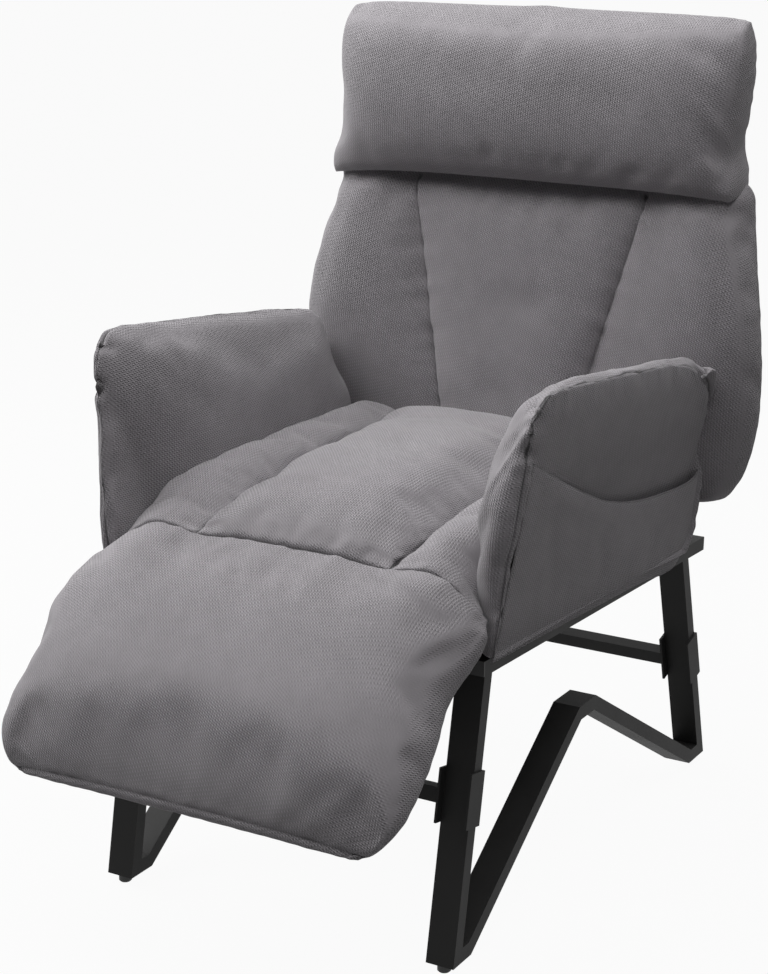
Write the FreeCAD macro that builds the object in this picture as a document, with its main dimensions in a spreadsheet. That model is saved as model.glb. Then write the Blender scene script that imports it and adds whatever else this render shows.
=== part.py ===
"""Reclining lounge chair: bent-tube base, padded seat, back, headrest and footrest on ratchet hinges.

Millimetres, +Z up, the sitter faces -Y. The origin is on the floor under the middle of the chair.
"""
import FreeCAD, Part
import math
import os
import re
import Sketcher

Vector = FreeCAD.Vector
Rotation = FreeCAD.Rotation
Placement = FreeCAD.Placement
X_AXIS = Vector(1, 0, 0)

SIZES = {
    # flat tube of the base
    "tube_wide": 38.0,
    "tube_thin": 19.0,
    "tube_wall": 1.5,
    "frame_spacing": 476.0,
    "front_foot_start": -279.0,
    "front_foot_end": -234.0,
    "front_lean_angle": 11.3,
    "peak_start": 62.0,
    "peak_end": 100.0,
    "peak_height": 212.5,
    "rear_foot_start": 434.0,
    "rear_foot_end": 486.0,
    "rear_lean_angle": 14.9,
    # seat rails, sloping down to the rear
    "rail_height": 372.5,
    "rail_pitch": 2.6,
    "rail_front": -208.0,
    "rail_back": 454.0,
    "cap_flange": 2.0,
    "cap_plug": 12.0,
    "cap_gap": 0.2,
    # glides
    "glide_dia": 17.0,
    "glide_rim": 1.7,
    "glide_height": 11.5,
    "glide_inset": 12.0,
    "stem_dia": 6.0,
    "stem_length": 9.0,
    "hole_gap": 0.2,
    "cut_margin": 1.0,
    "fuse_lap": 1.0,
    "tool_reach": 40.0,
    # cross bars and the brackets that hold them to the legs
    "bar_size": 19.0,
    "bar_wall": 1.5,
    "bar_forward": 10.0,
    "front_bar_height": 214.0,
    "rear_bar_height": 178.0,
    "bracket_plate": 3.0,
    "bracket_tall": 68.0,
    "bracket_gap": 0.1,
    "bracket_bolt_dia": 6.0,
    "bracket_bolt_drop": 22.0,
    "bolt_head_tall": 4.0,
    "bolt_head_ratio": 0.95,
    # seat frame
    "round_dia": 22.0,
    "round_wall": 1.5,
    "saddle_long": 66.0,
    "seat_tube_inset": 33.0,
    "seat_tube_front": -198.0,
    "seat_tube_back": 368.0,
    "seat_bar_front": -120.0,
    "seat_bar_back": 318.0,
    "strap_wide": 45.0,
    "strap_thick": 2.0,
    "strap_count": 6,
    "strap_first": -75.0,
    "strap_pitch": 70.0,
    "strap_overhang": 8.0,
    "dust_thick": 1.5,
    "dust_gap": 1.0,
    # plates that join seat frame, arm frames and rails
    "plate_thick": 3.0,
    "plate_long": 90.0,
    "plate_inset": 43.5,
    "plate_outset": 16.0,
    "plate_front": -110.0,
    "plate_back": 250.0,
    "seat_bolt_dia": 8.0,
    "nut_tall": 5.0,
    # arm frames
    "arm_tube_dia": 19.0,
    "arm_tube_outset": 2.0,
    "arm_tube_tall": 190.0,
    "arm_tube_bend": 60.0,
    "arm_tube_span": 304.0,
    # ratchet hinges
    "leaf_thick": 3.0,
    "leaf_radius": 20.0,
    "leaf_wide": 16.0,
    "wheel_thick": 4.0,
    "wheel_radius": 15.0,
    "tooth_deep": 2.5,
    "tooth_share": 0.9,
    "tooth_count": 12,
    "leaf_gap": 0.3,
    "pin_dia": 8.0,
    "pin_gap": 0.05,
    "pin_head_dia": 14.0,
    "pin_head_tall": 2.5,
    "pawl_thick": 3.4,
    "pawl_out": 31.0,
    "pawl_side": 8.0,
    "pawl_radius": 5.0,
    "pawl_nose": 17.0,
    "pawl_nose_wide": 5.0,
    "stub_dia": 5.0,
    "hinge_fixed_arm": 60.0,
    "hinge_swing_arm": 78.0,
    "frame_tube_start": 40.0,
    "foot_axis_y": -230.0,
    "back_axis_y": 400.0,
    "head_axis_y": 430.0,
    "head_axis_z_over_rail": 452.5,
    # swinging frames
    "back_frame_gap": 61.6,
    "back_frame_bend": 70.0,
    "back_strap_count": 4,
    "back_strap_first": 130.0,
    "back_strap_margin": 17.0,
    "foot_slope_angle": 35.5,
    "foot_frame_long": 238.0,
    "foot_frame_bend": 45.0,
    "head_tube_dia": 16.0,
    "head_tube_start": 49.0,
    "head_frame_tall": 190.0,
    "head_frame_bend": 40.0,
    "frame_room": 2.5,
    "hinge_room": 29.0,
    "leaf_room": 5.0,
    # seat cushion
    "seat_side_gap": 4.0,
    "seat_back": 278.0,
    "seat_lift": 1.0,
    "roll_outset": 18.0,
    "roll_radius": 87.0,
    "roll_core": 34.0,
    "roll_lift": 15.0,
    "groove_front_x": 139.0,
    "groove_back_x": 150.0,
    "seat_groove_front_over_rail": 111.5,
    "seat_groove_back_over_rail": 143.5,
    "seat_crown_front": 6.0,
    "seat_crown_middle": 46.0,
    "seat_crown_back": 26.0,
    "seat_side_front_over_rail": 97.5,
    "seat_side_back_over_rail": 147.5,
    "seat_side_rise": 0.3,
    "bolster_crown": 12.0,
    # footrest cushion
    "foot_outset": 39.0,
    "foot_long": 288.0,
    "foot_under": 17.0,
    "foot_edge": 64.0,
    "foot_edge_front": 50.0,
    "foot_crown": 21.0,
    "foot_crown_tip": 8.0,
    "foot_side_share": 0.36,
    "foot_corner": 42.0,
    "foot_tip_rise": 16.0,
    "foot_tip_fall": 20.0,
    "joint_gap": 2.0,
    # arm cushions
    "arm_inset": 2.0,
    "arm_thick": 46.0,
    "arm_tilt_angle": 9.0,
    "arm_tilt_height_over_rail": 172.5,
    "arm_lift": 11.0,
    "arm_front_low": -250.0,
    "arm_front_high": -183.0,
    "arm_top_front_over_rail": 335.5,
    "arm_top_back_over_rail": 279.5,
    "arm_back": 346.0,
    "arm_back_low": 350.0,
    "arm_crown": 36.0,
    "arm_flare": 120.0,
    "arm_set_back": 0.35,
    "arm_low_share": 0.5,
    "arm_round_front_low": 14.0,
    "arm_round_back_low": 42.0,
    "arm_round_back_high": 58.0,
    "arm_round_front_high": 60.0,
    # side pockets
    "pocket_gap": 12.0,
    "pocket_thick": 3.0,
    "pocket_mouth_front_over_rail": 257.5,
    "pocket_mouth_middle_over_rail": 145.5,
    "pocket_mouth_back_over_rail": 132.5,
    "pocket_inset": 10.0,
    "pocket_corner": 40.0,
    "pocket_skirt": 16.0,
    "welt_wide": 8.0,
    # back cushion
    "back_low_over_rail": 65.5,
    "back_half_low": 316.0,
    "back_half_high": 318.0,
    "back_half_swell": 40.0,
    "back_swell_bias": 0.75,
    "back_edge_forward": 24.0,
    "back_forward_bias": 1.2,
    "back_edge_low": 38.0,
    "back_edge_y_low": 402.0,
    "back_groove_x_low": 82.0,
    "back_groove_x_high": 176.0,
    "back_groove_y_low": 325.0,
    "back_groove_y_high": 395.0,
    "back_crown_low": 30.0,
    "back_crown_high": 8.0,
    "wing_crown_low": 8.0,
    "wing_crown_high": 3.0,
    "back_rear_crown": 12.0,
    "back_rear_crown_high": 1.0,
    "back_foot_inset": 26.0,
    "back_foot_slim": 0.5,
    "back_foot_round": 14.0,
    "top_roll_radius": 45.0,
    "top_roll_round": 34.0,
    # headrest cushion
    "head_half": 306.0,
    "head_lip_z_over_rail": 477.5,
    "head_lip_rise": 17.0,
    "head_lip_bulge": 8.0,
    "head_front_y": 352.0,
    "head_front_low_y": 355.0,
    "head_front_top_y": 386.0,
    "head_shoulder_z_over_rail": 675.5,
    "head_top_z_over_rail": 716.5,
    "head_rear_y": 488.0,
    "head_rear_top_y": 475.0,
    "head_rear_low_y": 465.0,
    "head_rear_raise": 40.0,
    "head_end_round": 72.0,
    "head_end_scale": 0.74,
    "head_end_lift": 70.0,
    "head_full_scale": 1.0,
}

# sizes that follow from others: what stands beside or above the rails keeps its place to them
DERIVED = {
    "rail_x": "=frame_spacing / 2",
    "seat_tube_x": "=rail_x - seat_tube_inset",
    "plate_inner": "=rail_x - plate_inset",
    "plate_outer": "=rail_x + plate_outset",
    "arm_tube_x": "=rail_x + arm_tube_outset",
    "arm_inner": "=rail_x + arm_inset",
    "arm_outer": "=arm_inner + arm_thick",
    "seat_half": "=arm_inner - seat_side_gap",
    "roll_half": "=rail_x + roll_outset",
    "foot_half": "=rail_x + foot_outset",
    "head_axis_z": "=rail_height + head_axis_z_over_rail",
    "seat_groove_front": "=rail_height + seat_groove_front_over_rail",
    "seat_groove_back": "=rail_height + seat_groove_back_over_rail",
    "seat_side_front": "=rail_height + seat_side_front_over_rail",
    "seat_side_back": "=rail_height + seat_side_back_over_rail",
    "arm_tilt_height": "=rail_height + arm_tilt_height_over_rail",
    "arm_top_front": "=rail_height + arm_top_front_over_rail",
    "arm_top_back": "=rail_height + arm_top_back_over_rail",
    "pocket_mouth_front": "=rail_height + pocket_mouth_front_over_rail",
    "pocket_mouth_middle": "=rail_height + pocket_mouth_middle_over_rail",
    "pocket_mouth_back": "=rail_height + pocket_mouth_back_over_rail",
    "back_low": "=rail_height + back_low_over_rail",
    "head_lip_z": "=rail_height + head_lip_z_over_rail",
    "head_shoulder_z": "=rail_height + head_shoulder_z_over_rail",
    "head_top_z": "=rail_height + head_top_z_over_rail",
}
CELLS = {**SIZES, **DERIVED}

doc = FreeCAD.newDocument("lounge_chair")
sheet = doc.addObject("Spreadsheet::Sheet", "Sizes")
for row, (name, value) in enumerate(CELLS.items(), start=1):
    sheet.set(f"A{row}", name)
    sheet.set(f"B{row}", str(value))
    sheet.setAlias(f"B{row}", name)
doc.recompute()
size = {name: float(sheet.get(name)) for name in CELLS}
sub_parts = {}


def e(text):
    """Write an expression on the sheet's cells from plain size names."""
    return re.sub(r"[a-z_]\w*", lambda word: "Sizes." + word[0] if word[0] in CELLS else word[0], str(text))


def num(text):
    """The number that an expression on the sizes gives."""
    value = sheet.evalExpression(e(text))
    return float(getattr(value, "Value", value))


def bind(thing, **properties):
    for name, text in properties.items():
        thing.setExpression(name, e(text))
    return thing


def place(thing, x="0", y="0", z="0", angle=None, turn=None):
    """Bind a piece's place; angle turns it about X, turn is a fixed rotation before that."""
    if angle is not None:
        thing.Placement = Placement(Vector(), Rotation(X_AXIS, num(angle)))
    if turn is not None:
        spin = Rotation(X_AXIS, num(angle)) if angle is not None else Rotation()
        thing.Placement = Placement(Vector(), spin * turn)
    for axis, text in zip("xyz", (x, y, z)):
        thing.setExpression(f"Placement.Base.{axis}", e(text))
    if angle is not None and turn is None:
        thing.setExpression("Placement.Rotation.Angle", e(angle))
    return thing


def box(x, y, z, at=("0", "0", "0")):
    piece = doc.addObject("Part::Box", "block")
    bind(piece, Length=x, Width=y, Height=z)
    return place(piece, *at)


def rod(radius, length, at=("0", "0", "0"), along="x"):
    turns = {"x": Rotation(Vector(0, 1, 0), 90), "y": Rotation(X_AXIS, -90), "z": Rotation()}
    piece = doc.addObject("Part::Cylinder", "rod")
    bind(piece, Radius=radius, Height=length)
    return place(piece, *at, turn=turns[along])


def hexagon(radius, length, at, along="z"):
    turns = {"y": Rotation(X_AXIS, -90), "z": Rotation()}
    piece = doc.addObject("Part::Prism", "hexagon")
    piece.Polygon = 6
    bind(piece, Circumradius=radius, Height=length)
    return place(piece, *at, turn=turns[along])


def fuse(*pieces):
    if len(pieces) == 1:
        return pieces[0]
    joined = doc.addObject("Part::MultiFuse", "fused")
    joined.Shapes = list(pieces)
    return joined


def cut(base, *tools):
    piece = doc.addObject("Part::Cut", "cut")
    piece.Base = base
    piece.Tool = fuse(*tools)
    return piece


def mirror(piece):
    twin = doc.addObject("Part::Mirroring", "mirrored")
    twin.Source = piece
    twin.Normal = X_AXIS
    return twin


def group(*pieces):
    together = doc.addObject("Part::Compound", "group")
    together.Links = list(pieces)
    return together


def keep(label, piece):
    piece.Label = label
    sub_parts[label] = piece
    return piece


def keep_sides(label, piece):
    """Keep a right-hand piece and its mirror image as two sub-parts."""
    keep("right_" + label, piece)
    keep("left_" + label, mirror(piece))


def keep_pair(label, *pieces):
    """Keep right-hand pieces and their mirror images as one group."""
    keep(label, group(*pieces, *[mirror(piece) for piece in pieces]))


def origin_plane(body, role):
    return next(plane for plane in body.Origin.OriginFeatures if plane.Role == role)


def sketch_on(body, role):
    sketch = body.newObject("Sketcher::SketchObject", "sketch")
    sketch.AttachmentSupport = [(origin_plane(body, role), "")]
    sketch.MapMode = "FlatFace"
    return sketch


def hold_point(sketch, index, end, u, v):
    """Bind one end of a sketch line to its two coordinates."""
    for kind, text in (("DistanceX", u), ("DistanceY", v)):
        number = sketch.addConstraint(Sketcher.Constraint(kind, -1, 1, index, end, num(text)))
        sketch.setExpression(f"Constraints[{number}]", e(text))


def draw_outline(sketch, points):
    """A closed outline of straight edges through bound points."""
    corners = [Vector(num(u), num(v), 0) for u, v in points]
    for index, corner in enumerate(corners):
        sketch.addGeometry(Part.LineSegment(corner, corners[(index + 1) % len(corners)]), False)
    for index, (u, v) in enumerate(points):
        before = (index - 1) % len(points)
        sketch.addConstraint(Sketcher.Constraint("Coincident", before, 2, index, 1))
        hold_point(sketch, index, 1, u, v)


def draw_circle(sketch, u, v, radius):
    index = sketch.addGeometry(Part.Circle(Vector(num(u), num(v), 0), Vector(0, 0, 1), num(radius)), False)
    hold_point(sketch, index, 3, u, v)
    number = sketch.addConstraint(Sketcher.Constraint("Radius", index, num(radius)))
    sketch.setExpression(f"Constraints[{number}]", e(radius))


def both_ways(feature, sketch, length):
    feature.Profile = sketch
    feature.SideType = "Symmetric"
    return bind(feature, Length=length)


def side_profile(outline, wide, hollow=None, hollow_wide=None):
    """A tube or plate drawn in side view and padded evenly both ways, with an optional hollow."""
    body = doc.addObject("PartDesign::Body", "profile")
    outer = sketch_on(body, "YZ_Plane")
    draw_outline(outer, outline)
    both_ways(body.newObject("PartDesign::Pad", "pad"), outer, wide)
    if hollow:
        inner = sketch_on(body, "YZ_Plane")
        draw_outline(inner, hollow)
        both_ways(body.newObject("PartDesign::Pocket", "hollow"), inner, hollow_wide)
    return body


def bent_tube(half, start, far, bend, dia, wall):
    """A round tube bent to a U, open ends at start, drawn in its own XY plane."""
    body = doc.addObject("PartDesign::Body", "bent_tube")
    path = sketch_on(body, "XY_Plane")
    runs = [
        ((half, start), (half, f"{far} - ({bend})")),
        ((f"{half} - ({bend})", far), (f"-({half}) + {bend}", far)),
        ((f"-({half})", f"{far} - ({bend})"), (f"-({half})", start)),
    ]
    for begin, end in runs:
        ends = [Vector(num(u), num(v), 0) for u, v in (begin, end)]
        line = path.addGeometry(Part.LineSegment(*ends), False)
        hold_point(path, line, 1, *begin)
        hold_point(path, line, 2, *end)
    for line, sign in ((0, 1), (1, -1)):
        centre = Vector(sign * num(f"{half} - ({bend})"), num(f"{far} - ({bend})"), 0)
        circle = Part.Circle(centre, Vector(0, 0, 1), num(bend))
        quarter = (0, math.pi / 2) if sign > 0 else (math.pi / 2, math.pi)
        arc = path.addGeometry(Part.ArcOfCircle(circle, *quarter), False)
        path.addConstraint(Sketcher.Constraint("Coincident", line, 2, arc, 1))
        path.addConstraint(Sketcher.Constraint("Coincident", arc, 2, line + 1, 1))
        number = path.addConstraint(Sketcher.Constraint("Radius", arc, num(bend)))
        path.setExpression(f"Constraints[{number}]", e(bend))
    section = sketch_on(body, "XZ_Plane")
    section.AttachmentOffset = Placement(Vector(0, 0, -num(start)), Rotation())
    section.setExpression("AttachmentOffset.Base.z", e(f"-({start})"))
    draw_circle(section, half, "0", f"({dia}) / 2")
    draw_circle(section, half, "0", f"({dia}) / 2 - ({wall})")
    pipe = body.newObject("PartDesign::AdditivePipe", "pipe")
    pipe.Profile = section
    pipe.Spine = path
    return body


def on_seat(piece, x="0", y="0", z="0", turn=None):
    """Place a piece drawn on the plane of the sloping rails: y runs along them, z stands on them."""
    return place(piece, x, f"({y}) * cos(rail_pitch) + ({z}) * sin(rail_pitch)",
                 f"rail_height - ({y}) * sin(rail_pitch) + ({z}) * cos(rail_pitch)", "-rail_pitch", turn)


# Side frames: right-hand pieces are modelled, left-hand ones are their mirror images
HOLLOW_WIDE = "tube_wide - 2 * tube_wall"
FOOT_TOP = "(glide_height + tube_thin)"
RAIL_UNDER = "(rail_height - tube_thin / cos(rail_pitch))"


def leg_points(start, lean, inset, low, trim_top):
    """Four corners of a leaning leg between a level foot and the sloping rail.

    start is where the leg's outer face meets the foot's underside, lean is its slope towards the
    middle, and inset draws the faces in for the hollow.
    """
    sign = "-1" if lean == "rear_lean_angle" else "1"
    slope = f"({sign} * tan({lean}))"
    faces = [f"({start} + {sign} * ({inset}) / cos({lean}))",
             f"({start} + {sign} * (tube_thin - ({inset})) / cos({lean}))"]
    corners = []
    for face in faces:
        foot = f"({face} - glide_height * {slope})"
        top = f"(({RAIL_UNDER} + {trim_top} - {foot} * tan(rail_pitch)) / (1 + {slope} * tan(rail_pitch)))"
        corners.append(((f"{foot} + ({low}) * {slope}", low), (f"{foot} + {top} * {slope}", top)))
    (a_low, a_high), (b_low, b_high) = corners
    return [a_low, b_low, b_high, a_high]


def strut_points(foot_start, foot_end, peak, lean, inset, foot_reach, peak_reach):
    """A folded strut: flat foot, slope, and half of the flat peak, as a band of even thickness.

    foot_reach and peak_reach carry its ends past the leg's outer face and the middle of the peak.
    """
    sign = "1" if lean == "front_lean_angle" else "-1"
    rise = "(peak_height - glide_height)"
    angle = f"atan({rise} / ({sign} * ({peak} - {foot_end})))"
    middle = "((peak_start + peak_end) / 2)"
    low, high = f"({inset})", f"(tube_thin - ({inset}))"
    points = []
    for offset, order in ((low, 1), (high, -1)):
        fold = f"{sign} * {offset} * tan({angle} / 2)"
        ground = f"glide_height + {offset}"
        crest = f"peak_height + {offset}"
        band = [
            (f"{foot_start} + {sign} * ({offset} * tan({lean}) - ({foot_reach}))", ground),
            (f"{foot_end} - {fold}", ground),
            (f"{peak} - {fold}", crest),
            (f"{middle} + {sign} * {peak_reach}", crest),
        ]
        points += band[::order]
    return points


LEGS = {
    "front": ("front_foot_start", "front_lean_angle", "front_bar_height", "front_foot_end", "peak_start", 1),
    "rear": ("rear_foot_end", "rear_lean_angle", "rear_bar_height", "rear_foot_start", "peak_end", -1),
}


def bracket_frame(piece, end):
    """Place a piece drawn about a leg's middle at the height of its cross bar."""
    start, lean, height, _, _, sign = LEGS[end]
    middle = f"{start} + {sign} * (({height} - glide_height) * tan({lean}) + tube_thin / 2 / cos({lean}))"
    return place(piece, "0", middle, height, f"-{sign} * {lean}")


def bracket_bolt_hole(end, radius):
    """A bore through a bracket's web and the rear wall of its leg."""
    hole = rod(radius, "tube_thin / 2 + bracket_plate + cut_margin",
               ("rail_x", "tube_thin / 2 - tube_wall - cut_margin", "-bracket_bolt_drop"), "y")
    return bracket_frame(group(hole), end)


def base_frame():
    bolts = []
    caps = []
    for end, (start, lean, height, foot_end, peak, sign) in LEGS.items():
        leg_hollow = leg_points(start, lean, "tube_wall", f"{FOOT_TOP} - tool_reach", "tool_reach")
        leg = side_profile(leg_points(start, lean, "0", FOOT_TOP, "0"), "tube_wide", leg_hollow, HOLLOW_WIDE)
        place(leg, "rail_x")
        bore = bracket_bolt_hole(end, "bracket_bolt_dia / 2 + hole_gap")
        keep_sides(f"{end}_leg", cut(leg, bore))

        end_wall = f"-tube_wall / cos({lean})"
        strut_hollow = strut_points(start, foot_end, peak, lean, "tube_wall", end_wall, "tool_reach")
        strut_outline = strut_points(start, foot_end, peak, lean, "0", "0", "0")
        strut = side_profile(strut_outline, "tube_wide", strut_hollow, HOLLOW_WIDE)
        place(strut, "rail_x")
        glide_y = f"{start} + {sign} * glide_inset"
        stem_hole = rod("stem_dia / 2 + hole_gap", "tube_thin / 2",
                        ("rail_x", glide_y, "glide_height - cut_margin"), "z")
        keep_sides(f"{end}_strut", cut(strut, stem_hole))

        bar_long = "(frame_spacing - tube_wide - 2 * (bracket_plate + bracket_gap))"
        corner = (f"-{bar_long} / 2", "-bar_forward - bar_size / 2", "-bar_size / 2")
        outer = box(bar_long, "bar_size", "bar_size", corner)
        inner = box(f"{bar_long} + 2 * cut_margin", "bar_size - 2 * bar_wall", "bar_size - 2 * bar_wall",
                    (f"-{bar_long} / 2 - cut_margin", "-bar_forward - bar_size / 2 + bar_wall",
                     "-bar_size / 2 + bar_wall"))
        keep(f"{end}_crossbar", bracket_frame(cut(outer, inner), end))

        room = "tube_thin / 2 + bracket_gap"
        reach = "bar_forward + bar_size / 2 + bracket_plate / 2"
        wide = "(tube_wide + 2 * (bracket_gap + bracket_plate))"
        blank = box(wide, f"{reach} + {room} + bracket_plate", "bracket_tall",
                    (f"rail_x - {wide} / 2", f"-({reach})", "-bracket_tall / 2"))
        slot = box("tube_wide + 2 * bracket_gap", f"{reach} + {room} + cut_margin",
                   "bracket_tall + 2 * cut_margin",
                   ("rail_x - tube_wide / 2 - bracket_gap", f"-({reach}) - cut_margin",
                    "-bracket_tall / 2 - cut_margin"))
        bracket = bracket_frame(cut(blank, slot), end)
        drilled = cut(bracket, bracket_bolt_hole(end, "bracket_bolt_dia / 2 + hole_gap"))
        keep_pair(f"{end}_brackets", drilled)

        web = "tube_thin / 2 + bracket_gap + bracket_plate"
        shank = rod("bracket_bolt_dia / 2", "tube_wall + bracket_gap + bracket_plate + fuse_lap",
                    ("rail_x", "tube_thin / 2 - tube_wall", "-bracket_bolt_drop"), "y")
        head = hexagon("bracket_bolt_dia * bolt_head_ratio", "bolt_head_tall",
                       ("rail_x", web, "-bracket_bolt_drop"), "y")
        bolts.append(bracket_frame(fuse(shank, head), end))

        rail_end = "rail_front" if end == "front" else "rail_back"
        flange_y = f"{rail_end} - cap_flange" if end == "front" else rail_end
        plug_y = rail_end if end == "front" else f"{rail_end} - cap_plug"
        flange = box("tube_wide", "cap_flange", "tube_thin",
                     ("rail_x - tube_wide / 2", flange_y, "-tube_thin"))
        inset = "(tube_wall + cap_gap)"
        plug = box(f"tube_wide - 2 * {inset}", "cap_plug", f"tube_thin - 2 * {inset}",
                   (f"rail_x - tube_wide / 2 + {inset}", plug_y, f"-tube_thin + {inset}"))
        caps.append(on_seat(fuse(flange, plug)))
    keep_pair("bracket_bolts", *bolts)
    keep_pair("rail_end_caps", *caps)
    keep_pair("foot_glides", *[glide(*LEGS[end]) for end in LEGS])


def glide(start, _lean, _height, _foot_end, _peak, sign):
    glide_y = f"{start} + {sign} * glide_inset"
    pad = rod("glide_dia / 2", "glide_height - glide_rim", ("rail_x", glide_y, "glide_rim"), "z")
    sole = doc.addObject("Part::Cone", "sole")
    bind(sole, Radius1="glide_dia / 2 - glide_rim", Radius2="glide_dia / 2", Height="glide_rim")
    place(sole, "rail_x", glide_y)
    stem = rod("stem_dia / 2", "stem_length", ("rail_x", glide_y, "glide_height"), "z")
    return fuse(pad, sole, stem)


# Seat frame on the rails
TUBE_Z = "(plate_thick + round_dia / 2)"
PLATES = ("plate_front", "plate_back")
ARM_MIDDLE = "(plate_back + plate_front) / 2"
ARM_TURN = Rotation(Vector(0, 1, 0), size["arm_tilt_angle"])


def seat_bolt_bore(y, radius):
    return rod(radius, "plate_thick + tube_thin + 2 * nut_tall", ("rail_x", y, "-tube_thin - nut_tall"), "z")


def seat_frame():
    long = "(rail_back - rail_front)"
    bores = [seat_bolt_bore(y, "seat_bolt_dia / 2 + hole_gap") for y in PLATES]
    outer = box("tube_wide", long, "tube_thin", ("rail_x - tube_wide / 2", "rail_front", "-tube_thin"))
    inner = box(HOLLOW_WIDE, f"{long} + 2 * cut_margin", "tube_thin - 2 * tube_wall",
                ("rail_x - tube_wide / 2 + tube_wall", "rail_front - cut_margin",
                 "-tube_thin + tube_wall"))
    keep_sides("seat_rail", on_seat(cut(outer, inner, *bores)))

    plates = []
    bolts = []
    nuts = []
    for y in PLATES:
        blank = box("plate_outer - plate_inner", "plate_long", "plate_thick",
                    ("plate_inner", f"{y} - plate_long / 2", "0"))
        plates.append(on_seat(cut(blank, seat_bolt_bore(y, "seat_bolt_dia / 2 + hole_gap"))))
        shank = rod("seat_bolt_dia / 2", "plate_thick + tube_thin + nut_tall",
                    ("rail_x", y, "-tube_thin - nut_tall"), "z")
        head = hexagon("seat_bolt_dia * bolt_head_ratio", "bolt_head_tall", ("rail_x", y, "plate_thick"))
        bolts.append(on_seat(fuse(shank, head)))
        blank = hexagon("seat_bolt_dia * bolt_head_ratio", "nut_tall", ("rail_x", y, "-tube_thin - nut_tall"))
        nuts.append(on_seat(cut(blank, seat_bolt_bore(y, "seat_bolt_dia / 2 + pin_gap"))))
    keep_pair("seat_plates", *plates)
    keep_pair("seat_bolts", *bolts)
    keep_pair("seat_nuts", *nuts)

    tube_long = "(seat_tube_back - seat_tube_front)"
    tube = rod("round_dia / 2", tube_long, ("seat_tube_x", "seat_tube_front", TUBE_Z), "y")
    bore = rod("round_dia / 2 - round_wall", f"{tube_long} + 2 * cut_margin",
               ("seat_tube_x", "seat_tube_front - cut_margin", TUBE_Z), "y")
    keep_sides("seat_tube", on_seat(cut(tube, bore)))
    for label, y in (("seat_front_bar", "seat_bar_front"), ("seat_rear_bar", "seat_bar_back")):
        bar = rod("round_dia / 2", "2 * seat_tube_x", ("-seat_tube_x", y, TUBE_Z), "x")
        bore = rod("round_dia / 2 - round_wall", "2 * (seat_tube_x + cut_margin)",
                   ("-seat_tube_x - cut_margin", y, TUBE_Z), "x")
        saddle_y = f"{y} - saddle_long / 2"
        saddles = [rod("round_dia / 2", "saddle_long", (f"{side} * seat_tube_x", saddle_y, TUBE_Z), "y")
                   for side in (1, -1)]
        keep(label, on_seat(cut(bar, bore, *saddles)))

    strap_long = "2 * (seat_tube_x + strap_overhang)"
    straps = [box(strap_long, "strap_wide", "strap_thick",
                  (f"-({strap_long}) / 2", f"strap_first + {index} * strap_pitch", "plate_thick + round_dia"))
              for index in range(int(size["strap_count"]))]
    keep("seat_straps", on_seat(group(*straps)))

    dust_half = "(plate_inner - dust_gap)"
    cover = box(f"2 * {dust_half}", "seat_bar_back - seat_bar_front + round_dia", "dust_thick",
                (f"-{dust_half}", "seat_bar_front - round_dia / 2", "plate_thick - dust_thick"))
    keep("dust_cover", on_seat(group(cover)))

    side_view = Rotation(Vector(1, 1, 1), 120)
    arm = bent_tube("(arm_tube_span / 2)", "0", "arm_tube_tall", "arm_tube_bend", "arm_tube_dia",
                    "round_wall")
    foot_z = "plate_thick + arm_tube_dia / 2 * sin(arm_tilt_angle)"
    on_seat(arm, "arm_tube_x", ARM_MIDDLE, foot_z, ARM_TURN * side_view)
    keep_sides("arm_frame", arm)


# Hinge axes: the seat's two lie on the line of the seat tubes
FOOT_AXIS = ("foot_axis_y", f"(rail_height + {TUBE_Z} / cos(rail_pitch) - foot_axis_y * tan(rail_pitch))")
BACK_AXIS = ("back_axis_y", f"(rail_height + {TUBE_Z} / cos(rail_pitch) - back_axis_y * tan(rail_pitch))")
HEAD_AXIS = ("head_axis_y", "head_axis_z")
BACK_LEAN = f"(atan((head_axis_y - back_axis_y) / (head_axis_z - {BACK_AXIS[1]})) / 1 deg)"
BACK_LONG = f"(sqrt((head_axis_y - back_axis_y)^2 + (head_axis_z - {BACK_AXIS[1]})^2) - back_frame_gap)"
SEAT_FACE = "(seat_tube_x - round_dia / 2)"
STACK = "(leaf_thick + wheel_thick + leaf_gap + leaf_thick)"
SWING_FACE = f"({SEAT_FACE} - {STACK} + leaf_thick)"
SWING_TUBE_X = f"({SWING_FACE} + round_dia / 2)"
HEAD_FACE = f"({SWING_FACE} - {STACK} + leaf_thick)"
HEAD_TUBE_X = f"({HEAD_FACE} + head_tube_dia / 2)"


def ratchet_wheel():
    """A toothed disc: a round blank with one saw-tooth gap repeated round it."""
    body = doc.addObject("PartDesign::Body", "wheel")
    blank = sketch_on(body, "YZ_Plane")
    draw_circle(blank, "0", "0", "wheel_radius")
    pad = body.newObject("PartDesign::Pad", "pad")
    pad.Profile = blank
    bind(pad, Length="wheel_thick")
    doc.recompute()
    gap = sketch_on(body, "YZ_Plane")
    step = "(360 / tooth_count * tooth_share)"
    draw_outline(gap, [
        ("wheel_radius - tooth_deep", "0"),
        ("wheel_radius + tooth_deep", "0"),
        (f"(wheel_radius + tooth_deep) * cos({step})", f"(wheel_radius + tooth_deep) * sin({step})"),
        (f"wheel_radius * cos({step})", f"wheel_radius * sin({step})"),
    ])
    pocket = body.newObject("PartDesign::Pocket", "tooth_gap")
    pocket.Profile = gap
    pocket.SideType = "Symmetric"
    bind(pocket, Length="4 * wheel_thick")
    doc.recompute()
    teeth = body.newObject("PartDesign::PolarPattern", "teeth")
    teeth.Originals = [pocket]
    teeth.Axis = (blank, ["N_Axis"])
    teeth.Angle = 360
    bind(teeth, Occurrences="tooth_count")
    body.Tip = teeth
    doc.recompute()
    return body


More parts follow.
